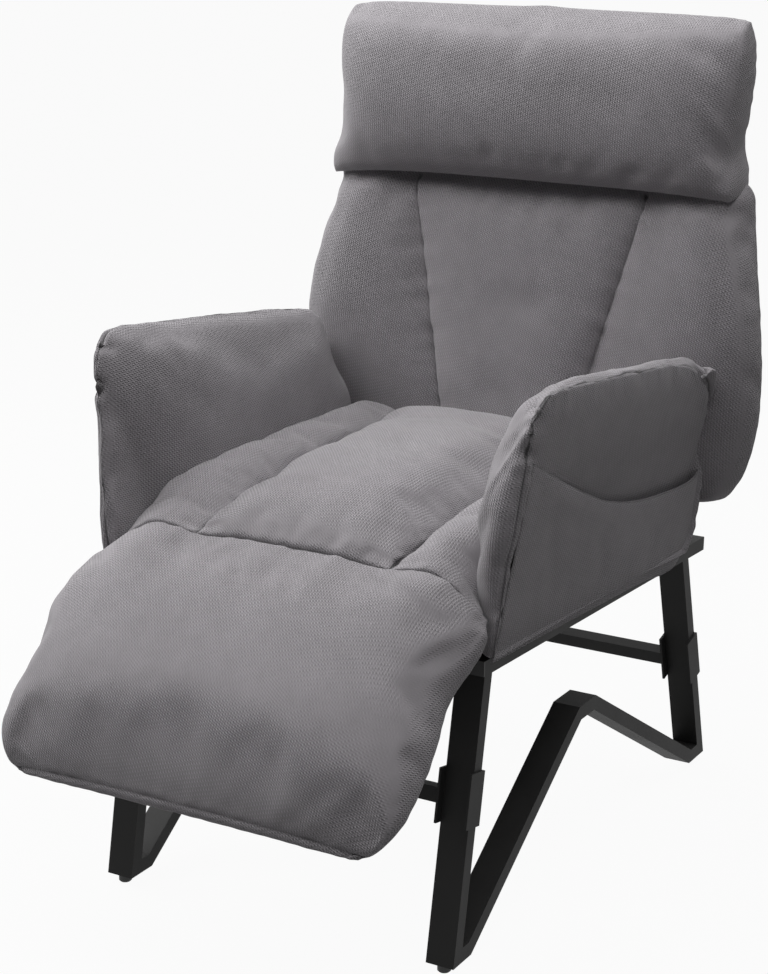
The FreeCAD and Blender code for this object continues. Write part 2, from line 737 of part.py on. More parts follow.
def hinge(name, axis, face, fixed_angle, swing_angle):
    """One pair of ratchet hinges about an axis along X; both arms are drawn along their own +y.

    From the tube's inner face inwards: toothed leaf, its wheel, swing leaf. The pawl sits beside the
    wheel on a stub of the swing leaf.
    """
    wheel_x = f"({face} - leaf_thick - wheel_thick)"
    swing_x = f"({wheel_x} - leaf_gap - leaf_thick)"
    bore = rod("pin_dia / 2 + pin_gap", f"{STACK} + 4 * cut_margin",
               (f"{swing_x} - 2 * cut_margin", "0", "0"))

    disc = rod("leaf_radius", "leaf_thick", (f"{face} - leaf_thick", "0", "0"))
    arm = box("leaf_thick", "hinge_fixed_arm", "leaf_wide", (f"{face} - leaf_thick", "0", "-leaf_wide / 2"))
    wheel = place(ratchet_wheel(), wheel_x)
    leaf = cut(fuse(disc, arm, wheel), bore)
    keep_pair(f"{name}_ratchet_leaves", place(leaf, "0", *axis, fixed_angle))

    disc = rod("leaf_radius", "leaf_thick", (swing_x, "0", "0"))
    arm = box("leaf_thick", "hinge_swing_arm", "leaf_wide", (swing_x, "0", "-leaf_wide / 2"))
    lug = rod("pawl_radius", "leaf_thick", (swing_x, "pawl_out", "pawl_side"))
    stub = rod("stub_dia / 2", "leaf_thick + leaf_gap + pawl_thick", (swing_x, "pawl_out", "pawl_side"))
    leaf = fuse(cut(fuse(disc, arm, lug), bore), stub)
    keep_pair(f"{name}_swing_leaves", place(leaf, "0", *axis, swing_angle))

    shaft = rod("pin_dia / 2", f"{STACK} + 2 * leaf_gap", (f"{swing_x} - leaf_gap", "0", "0"))
    heads = [rod("pin_head_dia / 2", "pin_head_tall", (x, "0", "0"))
             for x in (f"{face} + leaf_gap", f"{swing_x} - leaf_gap - pin_head_tall")]
    keep_pair(f"{name}_hinge_pins", place(fuse(shaft, *heads), "0", *axis))

    pawl_x = f"({swing_x} + leaf_thick + leaf_gap / 2)"
    knuckle = rod("pawl_radius", "pawl_thick", (pawl_x, "pawl_out", "pawl_side"))
    nose = box("pawl_thick", "pawl_nose", "pawl_nose_wide",
               (pawl_x, "pawl_out - pawl_nose", "pawl_side + pawl_radius - pawl_nose_wide"))
    eye = rod("stub_dia / 2 + pin_gap", "pawl_thick + 2 * cut_margin",
              (f"{pawl_x} - cut_margin", "pawl_out", "pawl_side"))
    keep_pair(f"{name}_pawls", place(cut(fuse(knuckle, nose), eye), "0", *axis, swing_angle))


def swinging_frames():
    up = f"90 - {BACK_LEAN}"
    hinge("back", BACK_AXIS, SEAT_FACE, "180 - rail_pitch", up)
    hinge("footrest", FOOT_AXIS, SEAT_FACE, "-rail_pitch", "180 + foot_slope_angle")
    hinge("headrest", HEAD_AXIS, SWING_FACE, f"-90 - {BACK_LEAN}", "90")

    frame = bent_tube(SWING_TUBE_X, "frame_tube_start", BACK_LONG, "back_frame_bend", "round_dia",
                      "round_wall")
    keep("back_frame", place(frame, "0", *BACK_AXIS, up))
    strap_half = f"({SWING_TUBE_X} + strap_overhang)"
    pitch = f"({BACK_LONG} - back_strap_first - strap_wide - back_strap_margin) / (back_strap_count - 1)"
    straps = [box(f"2 * {strap_half}", "strap_wide", "strap_thick",
                  (f"-{strap_half}", f"back_strap_first + {index} * {pitch}", "round_dia / 2"))
              for index in range(int(size["back_strap_count"]))]
    keep("back_straps", place(group(*straps), "0", *BACK_AXIS, up))

    frame = bent_tube(SWING_TUBE_X, "frame_tube_start", "foot_frame_long", "foot_frame_bend", "round_dia",
                      "round_wall")
    keep("footrest_frame", place(frame, "0", *FOOT_AXIS, "180 + foot_slope_angle"))
    frame = bent_tube(HEAD_TUBE_X, "head_tube_start", "head_frame_tall", "head_frame_bend", "head_tube_dia",
                      "round_wall")
    keep("headrest_frame", place(frame, "0", *HEAD_AXIS, "90"))


# Soft forms: closed lofts through lines and arcs
SEAT_STEPS = (0.0, 0.2, 0.45, 0.75, 1.0)
FOOT_STEPS = ((0.0, 0.0), (0.35, 0.0), (0.7, 0.0), (0.86, 0.1), (0.95, 0.4), (1.0, 1.0))
ARM_STEPS = (0.0, 0.12, 0.3, 0.55, 0.8, 1.0)
BACK_STEPS = (0.0, 0.12, 0.3, 0.5, 0.7, 0.86, 1.0)
ROLL_STEPS = ((0.0, 0.3), (0.3, 0.72), (1.0, 1.0))
HEAD_STEPS = ((0.0, 0.0), (0.12, 0.47), (0.45, 0.73), (1.0, 0.94))
HEAD_MIDDLE_STEPS = ((0.7, 0.99), (0.35, 1.0))
ROLL_MIDDLE_STEPS = (0.75, 0.5, 0.25)
DIAGONAL = math.sqrt(0.5)


def line(start, end):
    return Part.LineSegment(start, end).toShape()


def arc(start, through, end):
    return Part.Arc(start, through, end).toShape()


def crowned(start, end, rise):
    """An arc from start to end whose middle stands out by the vector rise."""
    return arc(start, (start + end) * 0.5 + rise, end)


def form(label, sections):
    piece = doc.addObject("Part::Feature", label)
    piece.Shape = Part.makeLoft([Part.Wire(edges) for edges in sections], True, False)
    return piece


def between(low, high, share):
    return size[low] + (size[high] - size[low]) * share


def hump(share, bias):
    """Rises from 0 to 1 and falls back as share runs from 0 to 1; bias moves the peak."""
    return math.sin(math.pi * share ** bias)


def frame_pocket(half, start, end, thick):
    """The flat hollow of a padded sleeve that a bent frame slips into, drawn in the frame's plane."""
    return box(f"2 * ({half})", f"({end}) - ({start})", thick, (f"-({half})", start, f"-({thick}) / 2"))


def seat_cushion():
    """Three crowned panels between two sewn channels, with a round roll along the front edge."""
    front, back = num(FOOT_AXIS[0]), size["seat_back"]
    pitch = math.tan(math.radians(size["rail_pitch"]))
    lean = math.tan(math.radians(size["arm_tilt_angle"]))
    base = num("rail_height + plate_thick + round_dia + strap_thick + seat_lift")
    middle_rise = num("seat_crown_middle - (seat_crown_front + seat_crown_back) / 2")
    bolster = Vector(0, 0, size["bolster_crown"])
    sections = []
    for share in SEAT_STEPS:
        y = front + (back - front) * share
        low = base - y * pitch
        groove_x = between("groove_front_x", "groove_back_x", share)
        groove_z = between("seat_groove_front", "seat_groove_back", share)
        side_z = between("seat_side_front", "seat_side_back", share ** size["seat_side_rise"])
        crown = between("seat_crown_front", "seat_crown_back", share) + middle_rise * hump(share, 1.0)
        half = size["seat_half"] + (side_z - size["arm_tilt_height"]) * lean
        half_low = size["seat_half"] + (low - size["arm_tilt_height"]) * lean
        corner = [Vector(-half_low, y, low), Vector(-half, y, side_z), Vector(-groove_x, y, groove_z),
                  Vector(groove_x, y, groove_z), Vector(half, y, side_z), Vector(half_low, y, low)]
        sections.append([
            line(corner[0], corner[1]),
            crowned(corner[1], corner[2], bolster),
            crowned(corner[2], corner[3], Vector(0, 0, crown)),
            crowned(corner[3], corner[4], bolster),
            line(corner[4], corner[5]),
            line(corner[5], corner[0]),
        ])
    pad = form("seat_pad", sections)
    axis_y, axis_z = FOOT_AXIS
    past_end = "-roll_half - cut_margin"
    past_both = "2 * (roll_half + cut_margin)"
    roll = rod("roll_radius", "2 * roll_half", ("-roll_half", axis_y, axis_z))
    behind = box(past_both, "2 * roll_radius", "4 * roll_radius",
                 (past_end, axis_y, f"{axis_z} - 2 * roll_radius"))
    below = box(past_both, "3 * roll_radius", "2 * roll_radius",
                (past_end, f"{axis_y} - 2 * roll_radius", f"{axis_z} + roll_lift - 2 * roll_radius"))
    core = rod("roll_core", past_both, (past_end, axis_y, axis_z))
    leaf_space = rod("leaf_radius + frame_room", f"2 * ({SEAT_FACE} + pin_head_tall + frame_room)",
                     (f"-{SEAT_FACE} - pin_head_tall - frame_room", axis_y, axis_z))
    keep("seat_cushion", fuse(cut(pad, leaf_space), cut(roll, behind, below, core)))


def footrest_cushion():
    """A crowned pad, thinner and rounded at its front, hollowed at the rear to turn round the seat roll."""
    sections = []
    for share, shrink in FOOT_STEPS:
        y = size["foot_long"] * share
        under = size["foot_tip_rise"] * shrink - size["foot_under"]
        edge = between("foot_edge", "foot_edge_front", share) - size["foot_tip_fall"] * shrink
        crown = between("foot_crown", "foot_crown_tip", shrink)
        out = (edge - under) * size["foot_side_share"]
        flat = size["foot_half"] - size["foot_corner"] * shrink - out
        corner = [Vector(-flat, y, -under), Vector(-flat, y, -edge),
                  Vector(flat, y, -edge), Vector(flat, y, -under)]
        sections.append([
            crowned(corner[0], corner[1], Vector(-out, 0, 0)),
            crowned(corner[1], corner[2], Vector(0, 0, -crown)),
            crowned(corner[2], corner[3], Vector(out, 0, 0)),
            line(corner[3], corner[0]),
        ])
    pad = form("footrest_pad", sections)
    turn = rod("roll_radius + joint_gap", "4 * foot_half", ("-2 * foot_half", "0", "0"))
    half_wide = f"{SWING_TUBE_X} + round_dia / 2 + frame_room"
    hollow = frame_pocket(half_wide, "-foot_long / 2", "foot_frame_long + round_dia / 2 + frame_room",
                          "round_dia + 2 * frame_room")
    keep("footrest_cushion", place(cut(pad, turn, hollow), "0", *FOOT_AXIS, "180 + foot_slope_angle"))


def rounded(corners, radii, x):
    """A closed outline in the plane at x, its corners rounded by arcs."""
    count = len(corners)
    joints = []
    for index in range(count):
        here = corners[index]
        back = (corners[index - 1] - here).normalize()
        ahead = (corners[(index + 1) % count] - here).normalize()
        half_angle = back.getAngle(ahead) / 2
        reach = radii[index] / math.tan(half_angle)
        bisector = (back + ahead).normalize()
        middle = here + bisector * (radii[index] / math.sin(half_angle) - radii[index])
        bend = (here + back * reach, middle, here + ahead * reach)
        joints.append([Vector(x, point.x, point.y) for point in bend])
    edges = []
    for index in range(count):
        edges.append(arc(*joints[index]))
        edges.append(line(joints[index][2], joints[(index + 1) % count][0]))
    return edges


def arm_outline(inset, drop=0.0):
    """Side view of an arm, drawn in by inset; drop lowers the top and sets its front corner back."""
    pitch = math.tan(math.radians(size["rail_pitch"]))

    def low(y):
        return size["rail_height"] + size["arm_lift"] - y * pitch + inset * size["arm_low_share"]

    front_low = size["arm_front_low"] + inset
    front_high = size["arm_front_high"] + inset + drop * size["arm_set_back"]
    back_low, back_high = size["arm_back_low"] - inset, size["arm_back"] - inset
    return [Vector(front_low, low(front_low), 0), Vector(back_low, low(back_low), 0),
            Vector(back_high, size["arm_top_back"] - inset - drop, 0),
            Vector(front_high, size["arm_top_front"] - inset - drop, 0)]


def leaning(piece):
    """Lean a right-hand arm piece outwards about a level line along its outer face."""
    pivot = Vector(size["arm_outer"], 0, size["arm_tilt_height"])
    piece.Placement = Placement(pivot - ARM_TURN.multVec(pivot), ARM_TURN)
    return piece


def arm_cushion():
    """A padded panel: flat towards the pocket, thinning to its top edge on the sitter's side."""
    radii = [size["arm_round_" + corner] for corner in ("front_low", "back_low", "back_high", "front_high")]
    sections = []
    for share in ARM_STEPS:
        inner = 1 - share
        outline = arm_outline(size["arm_crown"] * inner ** 3, size["arm_flare"] * inner ** 2)
        sections.append(rounded(outline, radii, between("arm_inner", "arm_outer", share)))
    pad = leaning(form("arm_pad", sections))
    roll_room = rod("roll_radius + joint_gap", "2 * (roll_half + joint_gap)",
                    ("-roll_half - joint_gap", *FOOT_AXIS))
    wide, thick = "(arm_tube_span + arm_tube_dia + 2 * frame_room)", "(arm_tube_dia + 2 * frame_room)"
    hollow = box(thick, wide, "arm_tube_tall + arm_tube_dia + frame_room",
                 (f"-{thick} / 2", f"-{wide} / 2", "-arm_tube_dia / 2"))
    sleeve = on_seat(group(hollow), "arm_tube_x", ARM_MIDDLE, "plate_thick", ARM_TURN)
    keep_sides("arm_cushion", cut(pad, roll_room, sleeve))


def pocket_panel():
    """A sewn panel over the arm's outer face, its mouth a hollow curve, held off by a welt on three sides."""
    front_low, back_low, back_high, front_high = arm_outline(size["pocket_inset"])
    front_share = (size["pocket_mouth_front"] - front_low.y) / (front_high.y - front_low.y)
    back_share = (size["pocket_mouth_back"] - back_low.y) / (back_high.y - back_low.y)
    mouth_front = front_low + (front_high - front_low) * front_share
    mouth_back = back_low + (back_high - back_low) * back_share
    mouth_middle = Vector((mouth_front.x + mouth_back.x) / 2, size["pocket_mouth_middle"], 0)
    corner_low = back_low + (front_low - back_low).normalize() * size["pocket_corner"]
    corner_high = back_low + (back_high - back_low).normalize() * size["pocket_corner"]

    def slab(x, thick, points, through):
        ends = [Vector(x, point.x, point.y) for point in points]
        edges = [line(a, b) for a, b in zip(ends, ends[1:])]
        edges.append(arc(ends[-1], Vector(x, through.x, through.y), ends[0]))
        return Part.Face(Part.Wire(edges)).extrude(Vector(thick, 0, 0))

    outer, gap, margin = size["arm_outer"], size["pocket_gap"], size["cut_margin"]
    outline = [mouth_front, front_low, corner_low, corner_high, mouth_back]
    skirt = Vector(0, -size["pocket_skirt"], 0)
    hanging = [mouth_front, front_low + skirt, corner_low + skirt, corner_high, mouth_back]
    panel = doc.addObject("Part::Feature", "pocket")
    panel.Shape = slab(outer + gap, size["pocket_thick"], hanging, mouth_middle)
    keep_sides("pocket", leaning(panel))

    wide = size["welt_wide"]
    above = Vector(0, wide * 3, 0)
    inner = [mouth_front + Vector(wide, 0, 0) + above, front_low + Vector(wide, wide, 0),
             corner_low + Vector(0, wide, 0), corner_high + Vector(-wide, 0, 0),
             mouth_back + Vector(-wide, 0, 0) + above]
    rim = slab(outer, gap, outline, mouth_middle)
    room = slab(outer - margin, gap + 2 * margin, inner, mouth_middle + above)
    welt = doc.addObject("Part::Feature", "pocket_welt")
    welt.Shape = rim.cut(room)
    keep_sides("pocket_welt", leaning(welt))


def back_section(share, inset, z):
    """A level section of the back: centre panel and wings between two channels, rounded edges, full rear."""
    half = between("back_half_low", "back_half_high", share) - inset
    half += size["back_half_swell"] * hump(share, size["back_swell_bias"])
    edge = between("back_edge_low", "top_roll_radius", share) - inset * size["back_foot_slim"]
    edge_y = between("back_edge_y_low", "head_axis_y", share)
    edge_y -= size["back_edge_forward"] * hump(share, size["back_forward_bias"])
    groove_x = between("back_groove_x_low", "back_groove_x_high", share)
    groove_y = between("back_groove_y_low", "back_groove_y_high", share) + inset * size["back_foot_slim"]
    crown = between("back_crown_low", "back_crown_high", share)
    bulge = Vector(0, -between("wing_crown_low", "wing_crown_high", share), 0)
    side = half - edge
    slant = edge * DIAGONAL

    def wing(sign):
        groove = Vector(sign * groove_x, groove_y, z)
        front = Vector(sign * side, edge_y - edge, z)
        tip = Vector(sign * half, edge_y, z)
        rear = Vector(sign * side, edge_y + edge, z)
        front_bend = Vector(sign * (side + slant), edge_y - slant, z)
        rear_bend = Vector(sign * (side + slant), edge_y + slant, z)
        return groove, front, tip, rear, front_bend, rear_bend

    groove_r, front_r, tip_r, rear_r, front_bend_r, rear_bend_r = wing(1)
    groove_l, front_l, tip_l, rear_l, front_bend_l, rear_bend_l = wing(-1)
    rear_rise = Vector(0, between("back_rear_crown", "back_rear_crown_high", share), 0)
    return [
        crowned(groove_l, groove_r, Vector(0, -crown, 0)),
        crowned(groove_r, front_r, bulge),
        arc(front_r, front_bend_r, tip_r),
        arc(tip_r, rear_bend_r, rear_r),
        crowned(rear_r, rear_l, rear_rise),
        arc(rear_l, rear_bend_l, tip_l),
        arc(tip_l, front_bend_l, front_l),
        crowned(front_l, groove_l, bulge),
    ]


def top_roll():
    """The round upper edge of the back, its ends drawn in."""
    half, end = size["back_half_high"], size["top_roll_round"]
    right = [(half - end * share, scale) for share, scale in ROLL_STEPS]
    right += [((half - end) * share, 1.0) for share in ROLL_MIDDLE_STEPS]
    steps = [(-x, scale) for x, scale in right] + [(0.0, 1.0)] + right[::-1]
    sections = []
    for x, scale in steps:
        reach = size["top_roll_radius"] * scale
        slant = reach * DIAGONAL
        centre = Vector(x, size["head_axis_y"], size["head_axis_z"] - size["fuse_lap"])
        front, top, rear = (centre + Vector(0, y, z) for y, z in ((-reach, 0), (0, reach), (reach, 0)))
        sections.append([
            arc(front, centre + Vector(0, -slant, slant), top),
            arc(top, centre + Vector(0, slant, slant), rear),
            line(rear, front),
        ])
    limit = rod("top_roll_radius", "4 * back_half_high", ("-2 * back_half_high", *HEAD_AXIS))
    roll = doc.addObject("Part::Common", "top_roll")
    roll.Base = form("back_top_roll", sections)
    roll.Tool = limit
    return roll


def back_cushion():
    """Wide padded back, swelling at arm height, with a round roll along its top edge."""
    sections = [back_section(0.0, size["back_foot_inset"], size["back_low"] - size["back_foot_round"])]
    for share in BACK_STEPS:
        sections.append(back_section(share, 0.0, between("back_low", "head_axis_z", share)))
    pad = form("back_pad", sections)
    half_wide = f"{SWING_TUBE_X} + round_dia / 2 + frame_room"
    hollow = frame_pocket(half_wide, "-frame_tube_start", f"{BACK_LONG} + round_dia / 2 + frame_room",
                          "round_dia + 2 * (frame_room + strap_thick)")
    sleeve = place(group(hollow), "0", *BACK_AXIS, f"90 - {BACK_LEAN}")
    notch_wide = f"({STACK} + 2 * (pin_head_tall + frame_room))"
    shift = f"hinge_fixed_arm * sin({BACK_LEAN})"
    notches = []
    for side in (1, -1):
        start = f"{side} * ({SWING_FACE} - {STACK} / 2) - {notch_wide} / 2"
        notches.append(box(notch_wide, "2 * hinge_room", "leaf_radius + frame_room + 2 * top_roll_radius",
                           (start, "head_axis_y - hinge_room", "head_axis_z - leaf_radius - frame_room")))
        notches.append(box(notch_wide, f"leaf_wide + 2 * leaf_room + {shift}", "hinge_fixed_arm + leaf_room",
                           (start, f"head_axis_y - leaf_wide / 2 - leaf_room - {shift}",
                            "head_axis_z - hinge_fixed_arm - leaf_room")))
    keep("back_cushion", cut(fuse(pad, top_roll()), sleeve, *notches))


def head_section(x, scale):
    """A side-on section of the headrest, drawn in about its middle by scale above the hollow underside."""
    axis = Vector(x, size["head_axis_y"], size["head_axis_z"])
    bore = size["top_roll_radius"] + size["joint_gap"]
    rise = size["head_lip_z"] - size["head_axis_z"] + size["head_end_lift"] * (1 - scale)
    reach = math.sqrt(bore * bore - rise * rise)
    middle = Vector(x, num("(head_front_y + head_rear_y) / 2"), num("(head_lip_z + head_top_z) / 2"))

    def drawn(y, z):
        return middle + (Vector(x, num(y), num(z)) - middle) * scale

    half_way = "(head_lip_z + head_shoulder_z) / 2"
    front_low = drawn("head_front_low_y", "head_lip_z + head_lip_rise")
    front_high = drawn("head_front_top_y", "head_shoulder_z")
    rear_high = drawn("head_rear_top_y", "head_shoulder_z")
    rear_low = drawn("head_rear_low_y", "head_lip_z + head_lip_rise")
    inner_front = axis + Vector(0, -reach, rise)
    inner_rear = axis + Vector(0, reach, rise)
    return [
        crowned(inner_front, front_low, Vector(0, 0, -size["head_lip_bulge"] * scale)),
        arc(front_low, drawn("head_front_y", half_way), front_high),
        arc(front_high, drawn("(head_front_top_y + head_rear_top_y) / 2", "head_top_z"), rear_high),
        arc(rear_high, drawn("head_rear_y", f"{half_way} + head_rear_raise"), rear_low),
        line(rear_low, inner_rear),
        arc(inner_rear, axis + Vector(0, 0, bore), inner_front),
    ]


def headrest_cushion():
    """A full pillow with drawn-in ends, its underside hollowed to turn round the top roll of the back."""
    half, end = size["head_half"], size["head_end_round"]
    right = [(half - end * share, between("head_end_scale", "head_full_scale", fill))
             for share, fill in HEAD_STEPS]
    right += [((half - end) * share, scale) for share, scale in HEAD_MIDDLE_STEPS]
    steps = [(-x, scale) for x, scale in right] + [(0.0, 1.0)] + right[::-1]
    pad = form("headrest_pad", [head_section(x, scale) for x, scale in steps])
    half_wide = f"({HEAD_TUBE_X} + head_tube_dia / 2 + frame_room)"
    hollow = box(f"2 * {half_wide}", "head_tube_dia + 2 * frame_room",
                 "head_frame_tall + head_tube_dia / 2 + frame_room",
                 (f"-{half_wide}", "head_axis_y - head_tube_dia / 2 - frame_room", "head_axis_z"))
    turn = rod("top_roll_radius + joint_gap", "4 * head_half", ("-2 * head_half", *HEAD_AXIS))
    keep("headrest_cushion", cut(pad, hollow, turn))


base_frame()
seat_frame()
swinging_frames()
seat_cushion()
footrest_cushion()
arm_cushion()
pocket_panel()
back_cushion()
headrest_cushion()
doc.recompute()

for thing in doc.Objects:
    if {"Invalid", "Error"} & set(thing.State):
        raise RuntimeError(f"{thing.Name} {thing.Label}: {thing.State}")
for label, piece in sub_parts.items():
    if piece.Shape.isNull() or not piece.Shape.isValid() or not piece.Shape.Solids:
        raise RuntimeError(f"{label} has no sound solid")

os.makedirs("parts", exist_ok=True)
for label, piece in sub_parts.items():
    piece.Shape.exportStep(f"parts/{label}.step")
print(len(sub_parts), "sub-parts")
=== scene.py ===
"""Reclining lounge chair: grey woven covers over foam, on a black flat-tube base."""
import math
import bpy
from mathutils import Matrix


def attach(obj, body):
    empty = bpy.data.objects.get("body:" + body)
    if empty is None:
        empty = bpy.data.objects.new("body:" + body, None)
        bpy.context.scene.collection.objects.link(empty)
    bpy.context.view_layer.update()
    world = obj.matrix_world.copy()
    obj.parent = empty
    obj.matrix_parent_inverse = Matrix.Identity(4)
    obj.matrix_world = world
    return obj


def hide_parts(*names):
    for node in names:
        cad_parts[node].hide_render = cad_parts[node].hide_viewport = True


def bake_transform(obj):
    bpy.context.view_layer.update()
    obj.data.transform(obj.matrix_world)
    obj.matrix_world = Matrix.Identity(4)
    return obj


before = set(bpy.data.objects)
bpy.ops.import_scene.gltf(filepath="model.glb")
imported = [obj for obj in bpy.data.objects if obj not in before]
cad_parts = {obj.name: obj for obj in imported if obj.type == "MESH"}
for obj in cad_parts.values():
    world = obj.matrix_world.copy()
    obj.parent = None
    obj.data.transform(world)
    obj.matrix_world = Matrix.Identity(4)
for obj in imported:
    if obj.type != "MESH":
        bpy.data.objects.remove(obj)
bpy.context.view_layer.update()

from types import SimpleNamespace
import bmesh
import bpy
import numpy as np
from mathutils import Vector

MM = 0.001
EPS = 1e-5

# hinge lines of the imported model, millimetres (y, z), and the slopes of footrest, rails and arms
FOOT_AXIS = (-230.0, 396.96)
HEAD_AXIS = (430.0, 825.0)
FOOT_SLOPE = math.radians(35.5)
RAIL_FALL = math.tan(math.radians(2.6))
ARM_LEAN = math.radians(9.0)
ARM_PIVOT_Z = 545.0


# Node trees written as sums

class Sock:
    """A socket that sums can be written with; each sum adds its Math node."""

    def __init__(self, tree, socket):
        self.tree = tree
        self.socket = socket

    def sum(self, operation, other, swapped=False):
        node = self.tree.nodes.new("ShaderNodeMath")
        node.operation = operation
        pair = (other, self) if swapped else (self, other)
        for index, value in enumerate(pair):
            if isinstance(value, Sock):
                self.tree.links.new(value.socket, node.inputs[index])
            else:
                node.inputs[index].default_value = value
        return Sock(self.tree, node.outputs[0])

    def __add__(self, other):
        return self.sum("ADD", other)

    def __radd__(self, other):
        return self.sum("ADD", other, True)

    def __sub__(self, other):
        return self.sum("SUBTRACT", other)

    def __mul__(self, other):
        return self.sum("MULTIPLY", other)

    def __truediv__(self, other):
        return self.sum("DIVIDE", other)

    def __pow__(self, other):
        return self.sum("POWER", other)

    def __abs__(self):
        return self.sum("ABSOLUTE", 0.0)

    def sine(self):
        return self.sum("SINE", 0.0)


class Finish:
    """A material and the nodes that make it."""

    def __init__(self, name):
        self.material = bpy.data.materials.new(name)
        self.material.use_nodes = True
        self.tree = self.material.node_tree
        self.shader = self.tree.nodes["Principled BSDF"]

    def node(self, kind, settings=None, out=0, **sockets):
        """Add a node: settings are set first, then sockets by name get a value or a link."""
        node = self.tree.nodes.new(kind)
        for name, value in (settings or {}).items():
            setattr(node, name, value)
        for name, value in sockets.items():
            self.fill(node, name.replace("_", " "), value)
        return Sock(self.tree, node.outputs[out])

    def fill(self, node, name, value):
        sockets = [socket for socket in node.inputs if socket.name == name and socket.enabled]
        if isinstance(value, Sock):
            self.tree.links.new(value.socket, sockets[0])
        else:
            sockets[0].default_value = value

    def set(self, **sockets):
        for name, value in sockets.items():
            self.fill(self.shader, name.replace("_", " "), value)

    def split(self, vector):
        node = self.tree.nodes.new("ShaderNodeSeparateXYZ")
        self.tree.links.new(vector.socket, node.inputs[0])
        return [Sock(self.tree, socket) for socket in node.outputs]

    def noise(self, place, scale, detail=2.0, roughness=0.5):
        return self.node("ShaderNodeTexNoise", Vector=place, Scale=scale, Detail=detail,
                         Roughness=roughness)

    def shade(self, factor, dark, light):
        colours = {"data_type": "RGBA"}
        return self.node("ShaderNodeMix", colours, out=2, Factor=factor, A=dark, B=light)


def grey(level, warm=0.0, violet=0.0):
    """A colour near grey: warm shifts it from blue to red, violet takes green away."""
    return (level * (1 + warm), level * (1 - violet), level * (1 - warm), 1.0)


# the woven cover: thread pitch in metres, how sharply the weave changes over between the three axes
THREAD_PITCH = 0.0044
FACING_POWER, FACING_FLOOR = 16.0, 0.01
CLOTH_DARK, CLOTH_LIGHT = grey(0.135, violet=0.055), grey(0.310, violet=0.055)
# painted shade in the seam grooves: the near-black the cloth is mixed towards, and its greatest share
SEAM_PAINTED_SHADE, SEAM_SHADE_SHARE = grey(0.02), 0.85
THREAD_TONE, FLECK_TONE, NAP_TONE, SMUDGE_TONE = 0.36, 0.20, 0.30, 0.36


def woven_cover():
    """Grey upholstery: a fine slanting weave, soft smudges in the nap, and painted shade darkening the sewn
    lines.
    """
    finish = Finish("grey_woven_cover")
    place = finish.node("ShaderNodeTexCoord", out=3)
    facing = finish.node("ShaderNodeTexCoord", out=1)
    x, y, z = finish.split(place)
    turned = [abs(part) ** FACING_POWER for part in finish.split(facing)]
    total = turned[0] + turned[1] + turned[2] + FACING_FLOOR
    drift = finish.noise(place, 16.0) * 3.0
    thread = 2 * math.pi / THREAD_PITCH

    def weave(p, q):
        twill = ((p + q * 0.8) * thread + drift).sine()
        picks = ((q - p * 0.3) * (thread * 0.9) + drift).sine()
        return twill * 0.5 + twill * picks * 0.8

    patterns = (weave(y, z), weave(x, z), weave(x, y))
    threads = sum(share * pattern for share, pattern in zip(turned, patterns)) / total
    fleck = finish.noise(place, 900.0, 1.0)
    nap = finish.noise(place, 7.0, 4.0, 0.62)
    smudge = finish.noise(place, 26.0, 3.0, 0.6)
    # closeness to a seam, read to paint shade into the seam grooves
    sewn = finish.node("ShaderNodeAttribute", {"attribute_name": "sewn"}, out=2)
    tone = threads * THREAD_TONE + (fleck - 0.5) * FLECK_TONE + (nap - 0.5) * NAP_TONE
    tone = tone + (smudge - 0.5) * SMUDGE_TONE + 0.5
    cloth = finish.shade(tone, CLOTH_DARK, CLOTH_LIGHT)
    # painted shade: the cloth darkens towards near-black along the seams
    finish.set(Base_Color=finish.shade(sewn ** 2.0 * SEAM_SHADE_SHARE, cloth, SEAM_PAINTED_SHADE))
    finish.set(Roughness=0.86 + (nap - 0.5) * 0.12)
    height = threads * 0.6 + (fleck - 0.5) * 0.10
    bump = finish.node("ShaderNodeBump", Strength=0.8, Distance=0.0014, Height=height)
    finish.set(Normal=bump, Specular_IOR_Level=0.22, Sheen_Weight=0.16, Sheen_Roughness=0.55)
    return finish.material


def coated_steel():
    """Black powder coat: satin, with a faint orange-peel."""
    finish = Finish("black_powder_coat")
    place = finish.node("ShaderNodeTexCoord", out=3)
    peel = finish.noise(place, 700.0, 2.0)
    cloud = finish.noise(place, 14.0, 3.0)
    finish.set(Base_Color=finish.shade(cloud, grey(0.0070, 0.02), grey(0.0115, 0.02)))
    finish.set(Roughness=0.52 + cloud * 0.16)
    finish.set(Normal=finish.node("ShaderNodeBump", Strength=0.12, Distance=0.0006, Height=peel))
    finish.set(Specular_IOR_Level=0.20)
    return finish.material


def moulded_plastic():
    finish = Finish("black_moulded_plastic")
    place = finish.node("ShaderNodeTexCoord", out=3)
    grain = finish.noise(place, 1400.0, 1.0)
    finish.set(Base_Color=finish.shade(finish.noise(place, 60.0), grey(0.008), grey(0.014)))
    finish.set(Roughness=0.52 + grain * 0.14)
    finish.set(Normal=finish.node("ShaderNodeBump", Strength=0.15, Distance=0.0004, Height=grain))
    return finish.material


def zinc_plate():
    finish = Finish("zinc_plated_steel")
    place = finish.node("ShaderNodeTexCoord", out=3)
    cloud = finish.noise(place, 90.0, 4.0)
    streak = finish.noise(place, 900.0, 2.0)
    finish.set(Base_Color=finish.shade(cloud, grey(0.20, 0.02), grey(0.30, 0.03)))
    finish.set(Roughness=0.30 + cloud * 0.22, Metallic=1.0)
    finish.set(Normal=finish.node("ShaderNodeBump", Strength=0.08, Distance=0.0004, Height=streak))
    return finish.material


